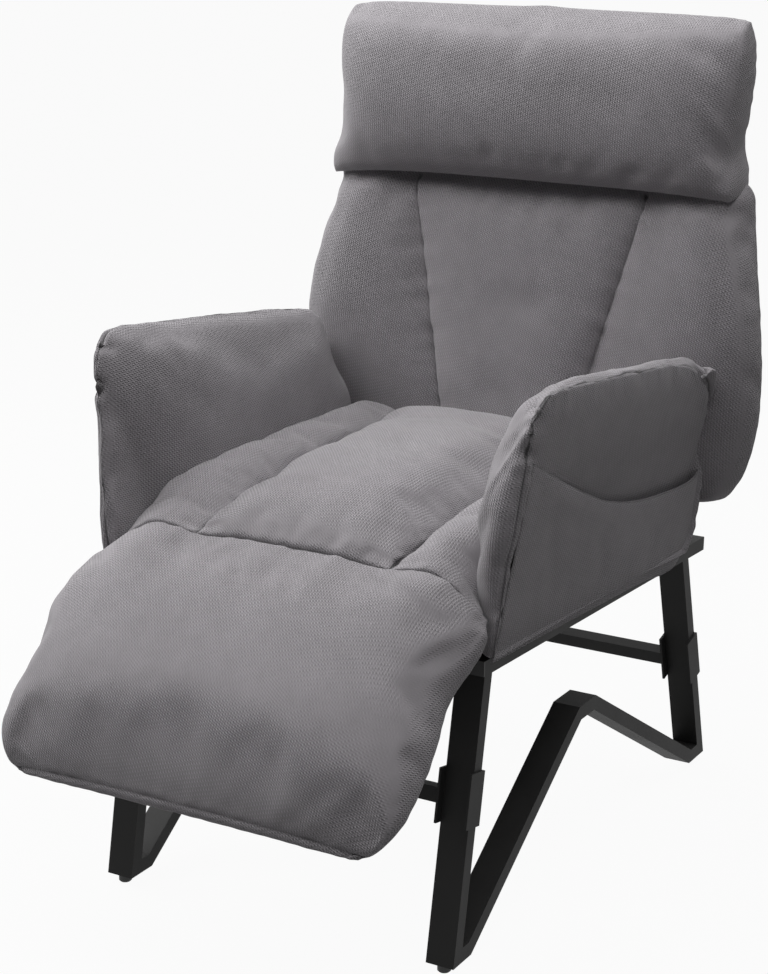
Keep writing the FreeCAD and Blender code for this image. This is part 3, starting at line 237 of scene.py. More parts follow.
def elastic_webbing():
    finish = Finish("elastic_webbing")
    place = finish.node("ShaderNodeTexCoord", out=3)
    x, y, z = finish.split(place)
    ribs = ((y + z) * 1900.0).sine() * 0.5 + 0.5
    picks = (x * 1300.0).sine() * 0.5 + 0.5
    finish.set(Base_Color=finish.shade(ribs * 0.6 + picks * 0.4, grey(0.018), grey(0.05)))
    finish.set(Roughness=0.85)
    finish.set(Normal=finish.node("ShaderNodeBump", Strength=0.5, Distance=0.0008, Height=ribs * picks))
    return finish.material


def felt_lining():
    finish = Finish("black_felt_lining")
    place = finish.node("ShaderNodeTexCoord", out=3)
    fibre = finish.noise(place, 600.0, 4.0, 0.7)
    finish.set(Base_Color=finish.shade(fibre, grey(0.01), grey(0.035)), Roughness=0.95)
    finish.set(Normal=finish.node("ShaderNodeBump", Strength=0.4, Distance=0.001, Height=fibre))
    return finish.material


COVER = woven_cover()
FINISHES = {
    "upholstery": COVER,
    "black_steel": coated_steel(),
    "black_plastic": moulded_plastic(),
    "zinc_steel": zinc_plate(),
    "webbing": elastic_webbing(),
    "lining": felt_lining(),
}


def dress_frame():
    """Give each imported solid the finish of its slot."""
    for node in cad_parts.values():
        for slot in node.material_slots:
            name = slot.material.name.split(".")[0] if slot.material else ""
            slot.material = FINISHES.get(name, FINISHES["black_steel"])


# Padded pieces: a block cut into a grid, drawn out to two faces, then filled

INSIDE_SHARE = 0.9
FILL_FRAMES = 14
# wave lengths, as shares of the pitch, of an uneven seam
WAVE_SHARES = (0.55, 0.83, 1.0, 1.7, 2.9)
WAVE_PEAK = 2.6


def block(name, counts):
    """A cube cut into counts faces along x, y and z; returns it with each point's shares, -1 to 1."""
    bpy.ops.object.select_all(action="DESELECT")
    bpy.ops.mesh.primitive_cube_add(size=2)
    piece = bpy.context.object
    piece.name = piece.data.name = name
    bpy.ops.object.mode_set(mode="EDIT")
    bpy.ops.mesh.select_mode(type="EDGE")
    for axis, count in enumerate(counts):
        bpy.ops.mesh.select_all(action="DESELECT")
        mesh = bmesh.from_edit_mesh(piece.data)
        for edge in mesh.edges:
            start, end = (point.co for point in edge.verts)
            edge.select_set(abs(start[axis] - end[axis]) > EPS)
        bmesh.update_edit_mesh(piece.data)
        bpy.ops.mesh.subdivide(number_cuts=count - 1)
    bpy.ops.object.mode_set(mode="OBJECT")
    shares = read_points(piece)
    return piece, shares[:, 0], shares[:, 2], shares[:, 1]


def first_row(share):
    return share < -1 + EPS


def last_row(share):
    return share > 1 - EPS


def both_ends(share):
    return np.abs(share) > 1 - EPS


def read_points(piece):
    flat = np.empty(len(piece.data.vertices) * 3, dtype=np.float32)
    piece.data.vertices.foreach_get("co", flat)
    return flat.reshape(-1, 3).astype(float)


def write_points(piece, points):
    piece.data.vertices.foreach_set("co", points.astype(np.float32).ravel())
    piece.data.update()


def outward(piece):
    flat = np.empty(len(piece.data.vertices) * 3, dtype=np.float32)
    piece.data.vertices.foreach_get("normal", flat)
    return flat.reshape(-1, 3).astype(float)


def smooth(share, places, values):
    """A soft curve through the given places and values."""
    places, values = np.asarray(places, float), np.asarray(values, float)
    slope = np.gradient(values, places)
    share = np.clip(share, places[0], places[-1])
    left = np.clip(np.searchsorted(places, share) - 1, 0, len(places) - 2)
    step = places[left + 1] - places[left]
    u = (share - places[left]) / step
    rising = u * u * (3 - 2 * u)
    bend_left = u * (1 - u) ** 2 * step * slope[left]
    bend_right = u * u * (u - 1) * step * slope[left + 1]
    return values[left] * (1 - rising) + values[left + 1] * rising + bend_left + bend_right


def stack(x, y, z):
    return np.stack(np.broadcast_arrays(x, y, z), axis=-1).astype(float)


def even_ends(share):
    """Shares -1 to 1 drawn closer together towards both ends."""
    return np.sin(np.pi / 2 * share)


def dome(share, power=2.0):
    """Height of a stuffed panel between its seams at -1 and 1."""
    return np.sqrt(np.clip(1 - np.abs(share) ** power, 0.0, 1.0))


def rise(gap, reach):
    """A rounded edge: 0 at the edge, 1 from reach inwards."""
    return dome(1 - np.clip(gap / reach, 0.0, 1.0))


def ease(value, start, end):
    """0 before start, 1 after end, soft between; start may be the larger."""
    u = np.clip((value - start) / (end - start), 0.0, 1.0)
    return u * u * (3 - 2 * u)


def near(gap, reach):
    """1 at no gap, fading softly over the reach."""
    return np.exp(-(gap / reach) ** 2)


def curve(points):
    """A soft curve through points; takes shares 0 to 1 of its length."""
    points = np.asarray(points, float)
    steps = np.linalg.norm(np.diff(points, axis=0), axis=1)
    shares = np.concatenate(([0.0], np.cumsum(steps))) / steps.sum()

    def at(share):
        return np.stack([smooth(share, shares, column) for column in points.T], axis=-1)
    return at


def patch(low, high, rear, front):
    """A sheet held by four edges that meet at its corners; takes shares s and t, 0 to 1."""
    ends = np.array([[low[0], low[-1]], [high[0], high[-1]]], float)
    low, high, rear, front = curve(low), curve(high), curve(rear), curve(front)

    def at(s, t):
        across, up = s[:, None], t[:, None]
        between = (1 - up) * low(s) + up * high(s) + (1 - across) * rear(t) + across * front(t)
        bottom = (1 - across) * ends[0, 0] + across * ends[0, 1]
        top = (1 - across) * ends[1, 0] + across * ends[1, 1]
        return between - (1 - up) * bottom - up * top
    return at


def lens(name, counts, front, rear, bulge):
    """A form between two faces over the shares wide and long, its side bands bulging in mm.

    The shares run from -1 to 1, as does deep, from the front face to the rear one.
    """
    piece, wide, long, deep = block(name, counts)
    ahead, behind = front(wide, long), rear(wide, long)
    depth = ((deep + 1) / 2)[:, None]
    points = ahead + (behind - ahead) * depth
    inside = (wide * INSIDE_SHARE, long * INSIDE_SHARE)
    inner = (front(*inside) + rear(*inside)) / 2
    away = (ahead + behind) / 2 - inner
    away /= np.linalg.norm(away, axis=1)[:, None] + EPS
    rim = (both_ends(wide) | both_ends(long)) * bulge(wide, long)
    points += away * rim[:, None] * 4 * depth * (1 - depth)
    write_points(piece, points * MM)
    face_out(piece)
    return piece, wide, long, deep


def choose(piece):
    bpy.ops.object.select_all(action="DESELECT")
    bpy.context.view_layer.objects.active = piece
    piece.select_set(True)


def face_out(piece):
    choose(piece)
    bpy.ops.object.mode_set(mode="EDIT")
    bpy.ops.mesh.select_all(action="SELECT")
    bpy.ops.mesh.normals_make_consistent(inside=False)
    bpy.ops.object.mode_set(mode="OBJECT")


def mirror_over(piece):
    """Turn a right-hand piece into the left-hand one."""
    write_points(piece, read_points(piece) * np.array((-1.0, 1.0, 1.0)))
    face_out(piece)


def apply_modifier(piece, name):
    choose(piece)
    bpy.ops.object.modifier_apply(modifier=name)


def group(piece, name, weights):
    """A vertex group holding each point by its weight."""
    held = piece.vertex_groups.new(name=name)
    for index in np.flatnonzero(weights > EPS):
        held.add([int(index)], float(weights[index]), "REPLACE")


def fill(piece, sewn, room, pressure, slack, cap):
    """Blow the cover up in Cloth: sewn points stay, others keep their share of room, up to cap mm."""
    start = read_points(piece)
    group(piece, "held", sewn.astype(float))
    cloth = piece.modifiers.new("filling", "CLOTH")
    settings = cloth.settings
    settings.quality = 5
    settings.mass = 0.3
    settings.tension_stiffness = settings.compression_stiffness = 12.0
    settings.shear_stiffness = 5.0
    settings.bending_stiffness = 0.6
    settings.use_pressure = True
    settings.uniform_pressure_force = pressure
    settings.shrink_min = -slack
    settings.vertex_group_mass = "held"
    settings.effector_weights.gravity = 0.0
    cloth.collision_settings.use_collision = False
    cloth.point_cache.frame_end = FILL_FRAMES
    scene = bpy.context.scene
    for number in range(1, FILL_FRAMES + 1):
        scene.frame_set(number)
    apply_modifier(piece, "filling")
    moved = read_points(piece) - start
    length = np.linalg.norm(moved, axis=1)[:, None] + EPS
    limit = np.tanh(length / (cap * MM)) * cap * MM / length
    write_points(piece, start + moved * limit * room[:, None])
    piece.vertex_groups.clear()
    scene.frame_set(1)


def settle(piece, loose, rounds):
    """Ease the loose points of a cover, so that no grid shows."""
    group(piece, "loose", loose.astype(float))
    eased = piece.modifiers.new("eased", "SMOOTH")
    eased.factor = 0.5
    eased.iterations = rounds
    eased.vertex_group = "loose"
    apply_modifier(piece, "eased")
    piece.vertex_groups.clear()


def refine(piece):
    """Round the grid once, to hold seams and folds."""
    detail = piece.modifiers.new("detail", "SUBSURF")
    detail.levels = detail.render_levels = 1
    apply_modifier(piece, "detail")


def along(points, line):
    """Distance from each point to a line of points, and how far along the line its foot is, in mm."""
    best = np.full(len(points), 1e9)
    run = np.zeros(len(points))
    passed = 0.0
    for start, end in zip(line[:-1], line[1:]):
        way = end - start
        length = float(np.linalg.norm(way))
        share = np.clip((points - start) @ way / (length * length + EPS), 0.0, 1.0)
        gap = np.linalg.norm(points - start - share[:, None] * way, axis=1)
        nearer = gap < best
        best = np.where(nearer, gap, best)
        run = np.where(nearer, passed + share * length, run)
        passed += length
    return best, run, passed


def wobble(run, seed, pitch):
    """A smooth uneven wave along a run, about -1 to 1, the same at each run of the script."""
    phase = np.random.default_rng(seed).uniform(0, 2 * np.pi, len(WAVE_SHARES))
    waves = [np.sin(run * 2 * np.pi / (pitch * scale) + shift) for scale, shift in zip(WAVE_SHARES, phase)]
    return sum(waves) / WAVE_PEAK


def paint_seam_shade(piece, amount):
    """Store how near each point is to a seam, for the cover's material to paint shade there."""
    layer = piece.data.attributes.get("sewn") or piece.data.attributes.new("sewn", "FLOAT", "POINT")
    old = np.empty(len(piece.data.vertices), dtype=np.float32)
    layer.data.foreach_get("value", old)
    layer.data.foreach_set("value", np.maximum(old, amount).astype(np.float32))


def sew(piece, line, depth, width, gather, reach, pitch, seed, seam_shade=1.0):
    """Draw a seam into the cover along a line, with gathers that run away from it; the last argument is the
    share of painted shade in the seam.
    """
    points = read_points(piece) / MM
    gap, run, _ = along(points, line)
    wave = wobble(run, seed, pitch)
    stitched = near(gap, width)
    drop = -depth * stitched * (1 + 0.25 * wave)
    drop += gather * np.exp(-gap / reach) * (1 - stitched) * wave
    write_points(piece, (points + outward(piece) * drop[:, None]) * MM)
    # painted shade along the seam's groove
    paint_seam_shade(piece, seam_shade * near(gap, 0.9 * width))


def crease(piece, folds):
    """Press or raise soft folds: each is a line, a width and a height in mm, fading at its ends."""
    points = read_points(piece) / MM
    lift = np.zeros(len(points))
    for line, width, height in folds:
        gap, run, total = along(points, np.asarray(line, float))
        fade = np.sin(np.pi * np.clip(run / total, 0.02, 0.98)) ** 0.8
        lift += height * fade * near(gap, width)
    write_points(piece, (points + outward(piece) * lift[:, None]) * MM)


def dress(piece, *nodes):
    """Give a soft piece the woven cover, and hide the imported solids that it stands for."""
    choose(piece)
    bpy.ops.object.shade_smooth()
    piece.data.materials.clear()
    piece.data.materials.append(COVER)
    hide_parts(*nodes)


# Headrest

# shares of the height, with the y of the front and rear faces and with each end's share of the half width
HEAD_FRONT = (
    (0, .04, .12, .3, .5, .68, .8, .9, .96, 1),
    (371, 361, 354.5, 351, 352.5, 360, 371, 389, 407, 427),
)
HEAD_REAR = ((0, .1, .3, .55, .75, .87, .95, 1), (464, 473, 485, 488, 482, 470, 455, 442))
HEAD_END = ((0, .1, .22, .45, .7, .9, 1), (.985, .985, .962, .975, .993, .990, .972))
HEAD_HALF = 306.0
HEAD_MIDDLE_Y = 421.0
HEAD_TOP = 1087.0
HEAD_TOP_FALL, HEAD_CORNER_FALL = 5.0, 7.0
HEAD_LOW_FRONT, HEAD_LOW_REAR = 851.0, 868.0
HEAD_END_DROP = 9.0
HEAD_LEFT_DROP, HEAD_LEFT_SAG = 6.0, 13.0
HEAD_TOP_BULGE, HEAD_END_BULGE, HEAD_UNDER_HOLLOW = 4.0, 5.0, 17.0
HEAD_COUNTS = (80, 10, 40)
HEAD_SEAM = dict(depth=1.6, width=3.0, gather=0.8, reach=22.0, pitch=34.0, seam_shade=0.6)
HEAD_FOLDS = [
    ([(238, 360, 965), (266, 370, 930), (292, 392, 890)], 7.0, -5.0),
    ([(250, 360, 985), (280, 376, 945), (300, 398, 905)], 9.0, 3.5),
    ([(248, 362, 930), (272, 372, 905), (290, 388, 880)], 6.0, -3.0),
    ([(262, 366, 905), (285, 384, 872)], 14.0, 4.0),
    ([(-60, 352, 875), (-30, 352, 900)], 12.0, -2.0),
    ([(60, 352, 865), (75, 352, 895)], 10.0, -2.2),
    ([(150, 354, 860), (190, 356, 880)], 12.0, -2.5),
    ([(-220, 356, 1020), (-120, 354, 990), (20, 352, 985)], 30.0, -2.0),
    ([(60, 354, 1000), (180, 356, 940)], 34.0, -3.0),
    ([(230, 366, 1060), (290, 390, 1010)], 16.0, -4.0),
    ([(286, 395, 1078), (306, 420, 1078)], 14.0, 4.0),
]


def headrest():
    """A pad rounded over its top and slimmer at both ends; its lower left end hangs a little."""
    def place(wide, long, low, profile):
        across = wide * (1.25 - 0.25 * wide * wide)
        up = (even_ends(long) + 1) / 2
        out = np.abs(across)
        left = np.where(across < 0, out ** 3, 0.0)
        top = HEAD_TOP - HEAD_TOP_FALL * out ** 2 - HEAD_CORNER_FALL * out ** 8
        bottom = low - HEAD_END_DROP * out ** 5 - HEAD_LEFT_DROP * left
        slim = 1 - 0.04 * out ** 2 - 0.46 * out ** 9 * (1 - 0.35 * (2 * up - 1) ** 4)
        y = HEAD_MIDDLE_Y + (smooth(up, *profile) - HEAD_MIDDLE_Y) * slim
        drawn_in = (1 - smooth(up, *HEAD_END)) * across ** 2
        x = HEAD_HALF * across * (1 - drawn_in) - HEAD_LEFT_SAG * left * ease(up, 0.55, 0.12)
        return stack(x, y, bottom + (top - bottom) * up)

    def front(wide, long):
        return place(wide, long, HEAD_LOW_FRONT, HEAD_FRONT)

    def rear(wide, long):
        return place(wide, long, HEAD_LOW_REAR, HEAD_REAR)

    def bulge(wide, long):
        outwards = np.where(both_ends(wide), HEAD_END_BULGE, HEAD_TOP_BULGE)
        return np.where(first_row(long), -HEAD_UNDER_HOLLOW, outwards)

    piece, wide, long, deep = lens("headrest_pad", HEAD_COUNTS, front, rear, bulge)
    under = first_row(long)
    rim = both_ends(wide) & last_row(deep)
    fill(piece, under | rim, np.where(under, 0.0, 0.6), pressure=5.0, slack=0.015, cap=12.0)
    settle(piece, ~under & ~rim, 3)
    refine(piece)
    height = np.linspace(-1, 1, 60)
    for side, seed in ((1.0, 3), (-1.0, 4)):
        sew(piece, rear(np.full_like(height, side), height), seed=seed, **HEAD_SEAM)
    crease(piece, HEAD_FOLDS)
    dress(piece, "headrest_cushion")
    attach(piece, "headrest")


# Back: a middle panel and two wings between channels that spread upwards

BACK_LOW, BACK_SPAN = 438.0, 387.0
BACK_FOOT, BACK_TOP = 424.0, 869.0
BACK_CHANNEL = 0.5
BACK_TOP_HELD = 0.94
ROLL_RADIUS = 45.0
# measures at the foot of the back, each with what it gains to the top
BACK_HALF = (312.0, 6.0)
BACK_EDGE = (38.0, 7.0)
BACK_EDGE_Y = (402.0, 28.0)
BACK_CHANNEL_X = (82.0, 94.0)
BACK_CHANNEL_Y = (329.0, 70.0)
BACK_MIDDLE_CROWN = (36.0, -22.0)
BACK_WING_CROWN = (17.0, -5.0)
BACK_REAR_CROWN = (12.0, -11.0)
BACK_BELLY, BACK_BOW = 40.0, 24.0
BACK_FOOT_ROUND, BACK_TOP_ROUND = 26.0, 22.0
BACK_EDGE_TURN = math.radians(80)
BACK_COUNTS = (104, 4, 60)
BACK_CHANNEL_SEAM = dict(depth=4.5, width=3.8, gather=2.4, reach=20.0, pitch=46.0)
BACK_EDGE_SEAM = dict(depth=1.6, width=3.0, gather=0.6, reach=14.0, pitch=40.0, seam_shade=0.6)
BACK_FOLDS = [
    ([(-60, 340, 690), (20, 335, 680), (70, 340, 700)], 26.0, -3.0),
    ([(-50, 318, 560), (40, 318, 552)], 22.0, -2.5),
    ([(190, 390, 760), (250, 380, 730)], 20.0, -2.5),
    ([(170, 365, 640), (240, 360, 650)], 22.0, -2.5),
    ([(-240, 380, 720), (-190, 384, 735)], 20.0, -2.0),
    ([(90, 370, 800), (60, 365, 770)], 16.0, -2.0),
]


def gained(measure, share):
    """A measure with what it gains over a share of its way."""
    return measure[0] + measure[1] * share


def back_sizes(wide, long):
    """The back's measures in mm at shares of its width and height."""
    at = SimpleNamespace()
    at.z = BACK_FOOT + (BACK_TOP - BACK_FOOT) * (even_ends(long) + 1) / 2
    at.up = np.clip((at.z - BACK_LOW) / BACK_SPAN, 0.0, 1.0)
    at.foot = BACK_FOOT_ROUND * np.clip((BACK_LOW - at.z) / (BACK_LOW - BACK_FOOT), 0.0, 1.0) ** 2
    at.crest = np.clip((at.z - HEAD_AXIS[1]) / ROLL_RADIUS, 0.0, 1.0)
    at.arch = ROLL_RADIUS * dome(np.minimum(at.crest, 0.985))
    belly = BACK_BELLY * np.sin(np.pi * at.up ** 0.75)
    at.half = gained(BACK_HALF, at.up) + belly - at.foot - BACK_TOP_ROUND * at.crest ** 3
    at.edge = gained(BACK_EDGE, at.up) - at.foot * 0.5
    at.edge_y = gained(BACK_EDGE_Y, at.up) - BACK_BOW * np.sin(np.pi * at.up ** 1.2)
    at.channel = gained(BACK_CHANNEL_X, at.up)
    out = np.abs(wide)
    widest = at.half - at.edge * (1 - math.sin(BACK_EDGE_TURN))
    middle = at.channel * even_ends(np.clip(out / BACK_CHANNEL, 0.0, 1.0))
    far = np.clip((out - BACK_CHANNEL) / (1 - BACK_CHANNEL), 0.0, 1.0)
    wing = at.channel + (widest - at.channel) * (1 - np.cos(np.pi * far ** 1.1)) / 2
    at.out = np.where(out <= BACK_CHANNEL, middle, wing)
    at.x = np.sign(wide) * at.out
    at.rim = at.edge * dome(np.clip((at.out - (at.half - at.edge)) / at.edge, 0.0, 1.0))
    return at


def back_pad():
    def front(wide, long):
        at = back_sizes(wide, long)
        channel_y = gained(BACK_CHANNEL_Y, at.up) + at.foot * 0.5
        side = at.half - at.edge
        middle = channel_y - gained(BACK_MIDDLE_CROWN, at.up) * dome(at.x / at.channel, 3.4)
        far = np.clip((at.out - at.channel) / (side - at.channel), 0.0, 1.0)
        wing = channel_y + (at.edge_y - at.edge - channel_y) * far
        wing = wing - gained(BACK_WING_CROWN, at.up) * (4 * far * (1 - far)) ** 0.48
        beside = np.where(at.out < side, wing, at.edge_y - at.rim)
        y = np.where(at.out < at.channel, middle, beside)
        rolled = HEAD_AXIS[0] - at.arch * at.rim / at.edge
        over = np.maximum(rolled, y * (1 - at.crest) + rolled * at.crest)
        return stack(at.x, np.where(at.crest > 0, over, y), at.z)

    def rear(wide, long):
        at = back_sizes(wide, long)
        full = np.clip(1 - (at.x / (at.half - at.edge)) ** 2, 0.0, 1.0)
        y = at.edge_y + at.rim + gained(BACK_REAR_CROWN, at.up) * full
        rolled = HEAD_AXIS[0] + at.arch * at.rim / at.edge
        return stack(at.x, np.where(at.crest > 0, rolled, y), at.z)

    def bulge(wide, long):
        return np.where(both_ends(wide), 1.5, 0.5)

    piece, wide, long, deep = lens("back_pad", BACK_COUNTS, front, rear, bulge)
    channel = (np.abs(np.abs(wide) - BACK_CHANNEL) < EPS) & (deep < 0)
    rim = both_ends(wide) & (np.abs(deep) < EPS)
    fixed = (long > BACK_TOP_HELD) | channel | rim
    room = np.where(deep > 0, 0.3, 1.0) * np.clip((BACK_TOP_HELD - long) * 6, 0, 1)
    fill(piece, fixed, room, pressure=4.0, slack=0.02, cap=11.0)
    settle(piece, ~fixed, 2)
    refine(piece)
    height = np.linspace(-0.98, 0.9, 90)
    for side, seed in ((BACK_CHANNEL, 11), (-BACK_CHANNEL, 12)):
        sew(piece, front(np.full_like(height, side), height), seed=seed, **BACK_CHANNEL_SEAM)
    for side, seed in ((-1.0, 13), (1.0, 14)):
        end = np.full_like(height, side)
        sew(piece, (front(end, height) + rear(end, height)) / 2, seed=seed, **BACK_EDGE_SEAM)
    crease(piece, BACK_FOLDS)
    dress(piece, "back_cushion")
    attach(piece, "back")


# Seat: two sewn channels, and a front seam that falls at both ends

SEAT_FRONT, SEAT_BACK = -230.0, 280.0
SEAT_CHANNEL = 0.55
SEAT_CHANNEL_X = (139.0, 11.0)
# the front seam: mm from the middle, and its height
SEAM_LINE = ((0, 60, 139, 165, 191, 220, 247, 262, 276), (488, 488, 484, 487, 489, 479, 462, 451, 438))
# over shares of the length from the front: heights of the channels and the sides, half widths, crowns
SEAT_CHANNEL_Z = ((0, .1, .5, 1), (484, 488, 498, 512))
SEAT_SIDE_Z = ((0, .05, .1, .137, .2, .3, .53, 1), (444, 471, 486, 494, 503, 510, 514, 514))
SEAT_HALF_LEFT = ((0, .05, .1, .137, .2, .3, .4, 1), (276, 273, 266, 258, 247, 236, 231, 230))
SEAT_HALF_RIGHT = ((0, .025, .05, .1, .2, .3, .4, 1), (271, 259, 249, 242, 236, 232, 231, 230))
SEAT_CROWN = ((0, .025, .07, .16, .32, .55, .74, .82, .94, 1), (0, 17, 32, 45, 53, 50, 42, 37, 31, 8))
BOLSTER_CROWN = ((0, .04, .1, .25, .6, 1), (0, 10, 18, 27, 27, 14))
BOLSTER_TAIL = 36.0
SEAM_LAP = 2.5
SEAT_TUFT, SEAT_TUFT_PLACE = 11.0, 0.80
SEAT_REAR_DROP = 16.0
SEAT_LOW_Z, SEAT_LOW_HALF, SEAT_LOW_SETBACK = 400.6, 236.0, 26.0
SEAT_REAR_BULGE, SEAT_FRONT_HOLLOW = 5.0, 4.0
SEAT_COUNTS = (88, 6, 76)
SEAT_CHANNEL_SEAM = dict(depth=3.0, width=3.2, gather=1.5, reach=20.0, pitch=50.0)
SEAT_FRONT_SEAM = dict(depth=1.5, width=3.0, gather=1.2, reach=18.0, pitch=40.0)
SEAT_FOLDS = [
    ([(-120, -222, 500), (-90, -150, 525), (-70, -80, 540)], 16.0, -4.0),
    ([(125, -222, 500), (100, -160, 522), (70, -110, 535)], 16.0, -4.0),
    ([(-40, -215, 515), (-20, -130, 535)], 18.0, -2.5),
    ([(40, -210, 515), (70, -150, 530)], 14.0, -2.0),
    ([(-125, 150, 535), (-70, 165, 550), (0, 170, 552)], 16.0, -4.0),
    ([(125, 150, 535), (70, 165, 550), (10, 170, 552)], 16.0, -4.0),
    ([(-60, 30, 550), (50, 10, 550)], 34.0, -2.5),
]


def seat_sizes(wide, long):
    """The seat's measures in mm at shares of its width and length."""
    at = SimpleNamespace()
    even = (long + 1) / 2
    at.along = even - 0.06 * np.sin(2 * np.pi * even)
    out = np.abs(wide)
    at.in_middle = out <= SEAT_CHANNEL
    at.inner = even_ends(np.clip(out / SEAT_CHANNEL, 0.0, 1.0))
    far = np.clip((out - SEAT_CHANNEL) / (1 - SEAT_CHANNEL), 0.0, 1.0)
    at.outer = (1 - np.cos(np.pi * far)) / 2

    def across(channel, half):
        return np.where(at.in_middle, channel * at.inner, channel + (half - channel) * at.outer)

    at.half = np.where(wide > 0, smooth(at.along, *SEAT_HALF_RIGHT), smooth(at.along, *SEAT_HALF_LEFT))
    half_front = np.where(wide > 0, SEAT_HALF_RIGHT[1][0], SEAT_HALF_LEFT[1][0])
    at.x = np.sign(wide) * across(gained(SEAT_CHANNEL_X, at.along), at.half)
    at.seam_z = smooth(across(SEAT_CHANNEL_X[0], half_front), *SEAM_LINE)
    tailed = np.where(at.in_middle, ease(at.inner, 0.62, 0.8), 1.0) * ease(at.along, 0.75, 1.0)
    lap = SEAM_LAP * ease(at.along, 0.03, 0.0)
    at.y = SEAT_FRONT + (SEAT_BACK - SEAT_FRONT) * at.along + BOLSTER_TAIL * tailed - lap
    return at


def seat_pad():
    def top(wide, long):
        at = seat_sizes(wide, long)
        channel_z = smooth(at.along, *SEAT_CHANNEL_Z)
        beside = channel_z + (smooth(at.along, *SEAT_SIDE_Z) - channel_z) * at.outer
        base = np.where(at.in_middle, channel_z, beside)
        base = at.seam_z + (base - at.seam_z) * ease(at.along, 0.0, 0.2)
        tuft = SEAT_TUFT * near(at.along - SEAT_TUFT_PLACE, 0.05) * at.inner ** 4
        middle = (smooth(at.along, *SEAT_CROWN) - tuft) * dome(at.inner, 3.0)
        bolster = smooth(at.along, *BOLSTER_CROWN) * dome(2 * at.outer - 1)
        drop = SEAT_REAR_DROP * np.clip((at.along - 0.93) / 0.07, 0, 1) ** 2
        return stack(at.x, at.y, base + np.where(at.in_middle, middle, bolster) - drop)

    def under(wide, long):
        at = seat_sizes(wide, long)
        low = SEAT_LOW_Z - at.y * RAIL_FALL
        half_low = SEAT_LOW_HALF + (low - ARM_PIVOT_Z) * math.tan(ARM_LEAN)
        setback = SEAT_LOW_SETBACK * np.clip(1 - at.along / 0.08, 0, 1)
        return stack(at.x * half_low / at.half, at.y + setback, low)

    def bulge(wide, long):
        ends = np.where(long > 0, SEAT_REAR_BULGE, -SEAT_FRONT_HOLLOW)
        return np.where(both_ends(wide), 0.5, ends)

    piece, wide, long, deep = lens("seat_pad", SEAT_COUNTS, top, under, bulge)
    upper = first_row(deep)
    seam = upper & (np.abs(np.abs(wide) - SEAT_CHANNEL) < 0.6 / SEAT_COUNTS[0])
    hem = both_ends(wide) | both_ends(long)
    fixed = ~upper | seam | hem
    fill(piece, fixed, upper.astype(float), pressure=4.0, slack=0.03, cap=10.0)
    settle(piece, ~fixed, 2)
    refine(piece)
    length = np.linspace(-1, 0.97, 90)
    for side, seed in ((SEAT_CHANNEL, 21), (-SEAT_CHANNEL, 22)):
        sew(piece, top(np.full_like(length, side), length), seed=seed, **SEAT_CHANNEL_SEAM)
    width = np.linspace(-1, 1, 120)
    sew(piece, top(width, np.full_like(width, -1.0)), seed=23, **SEAT_FRONT_SEAM)
    crease(piece, SEAT_FOLDS)
    dress(piece, "seat_cushion")
    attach(piece, "base")


# Footrest cover, in one piece from the tip over the roll to the seat's front seam

FOOT_LONG = 288.0
ROLL_REACH = 87.0
COVER_LONG = FOOT_LONG + ROLL_REACH * FOOT_SLOPE
COVER_HALF = 281.0
# over the run from the tip in mm: heights of the crest and the underside, falls to the edge and the hem
COVER_CREST = (
    (0, 8, 25, 60, 110, 170, 230, 288, COVER_LONG),
    (21, 33, 47, 65, 80, 89, 92, 91, 90),
)
COVER_LOW = ((0, 20, 60, 190, 250, COVER_LONG), (5, -8, -15, -17, 10, 40))
COVER_EDGE_FALL = ((0, 60, 250, COVER_LONG), (14, 34, 44, 48))
COVER_HEM_FALL = ((0, 60, 250, COVER_LONG), (26, 58, 76, 66))
COVER_LEFT_FALL = 0.72
COVER_SIDE_FALL = 5.0
TIP_ROUND, TIP_REACH = 44.0, 74.0
COVER_WAIST, SEAM_NARROW = 4.0, 5.0
RIGHT_WAIST, LEFT_SWELL, WAIST_RUN, WAIST_REACH = 12.0, 9.0, 205.0, 55.0
RIGHT_NARROW, RIGHT_NARROW_RUN = 5.0, 280.0
LAP_REACH, SEAM_BLEND = 12.0, 70.0
COVER_UNDER_SHARE = 0.985
COVER_SPREAD = 0.94
COVER_SIDE_BULGE, COVER_TIP_BULGE = 5.0, 7.0
COVER_COUNTS = (88, 6, 64)
COVER_SIDE_SEAM = dict(depth=1.4, width=2.8, gather=0.6, reach=16.0, pitch=40.0, seam_shade=0.7)
COVER_TIP_SEAM = dict(depth=1.6, width=2.8, gather=0.6, reach=16.0, pitch=40.0, seam_shade=0.7)
COVER_SEAT_SEAM = dict(depth=1.0, width=3.0, gather=1.6, reach=22.0, pitch=46.0)
COVER_FOLDS = [
    ([(-70, -245, 485), (-40, -285, 475), (-20, -320, 455)], 9.0, -3.5),
    ([(-40, -245, 485), (-5, -290, 472), (20, -330, 450)], 10.0, 2.5),
    ([(0, -245, 485), (35, -285, 475), (60, -320, 455)], 9.0, -3.0),
    ([(-150, -250, 484), (-120, -290, 470)], 11.0, -3.0),
    ([(120, -250, 484), (165, -275, 475), (230, -285, 455)], 10.0, -3.5),
    ([(130, -240, 486), (180, -262, 478), (250, -275, 450)], 9.0, 2.5),
]


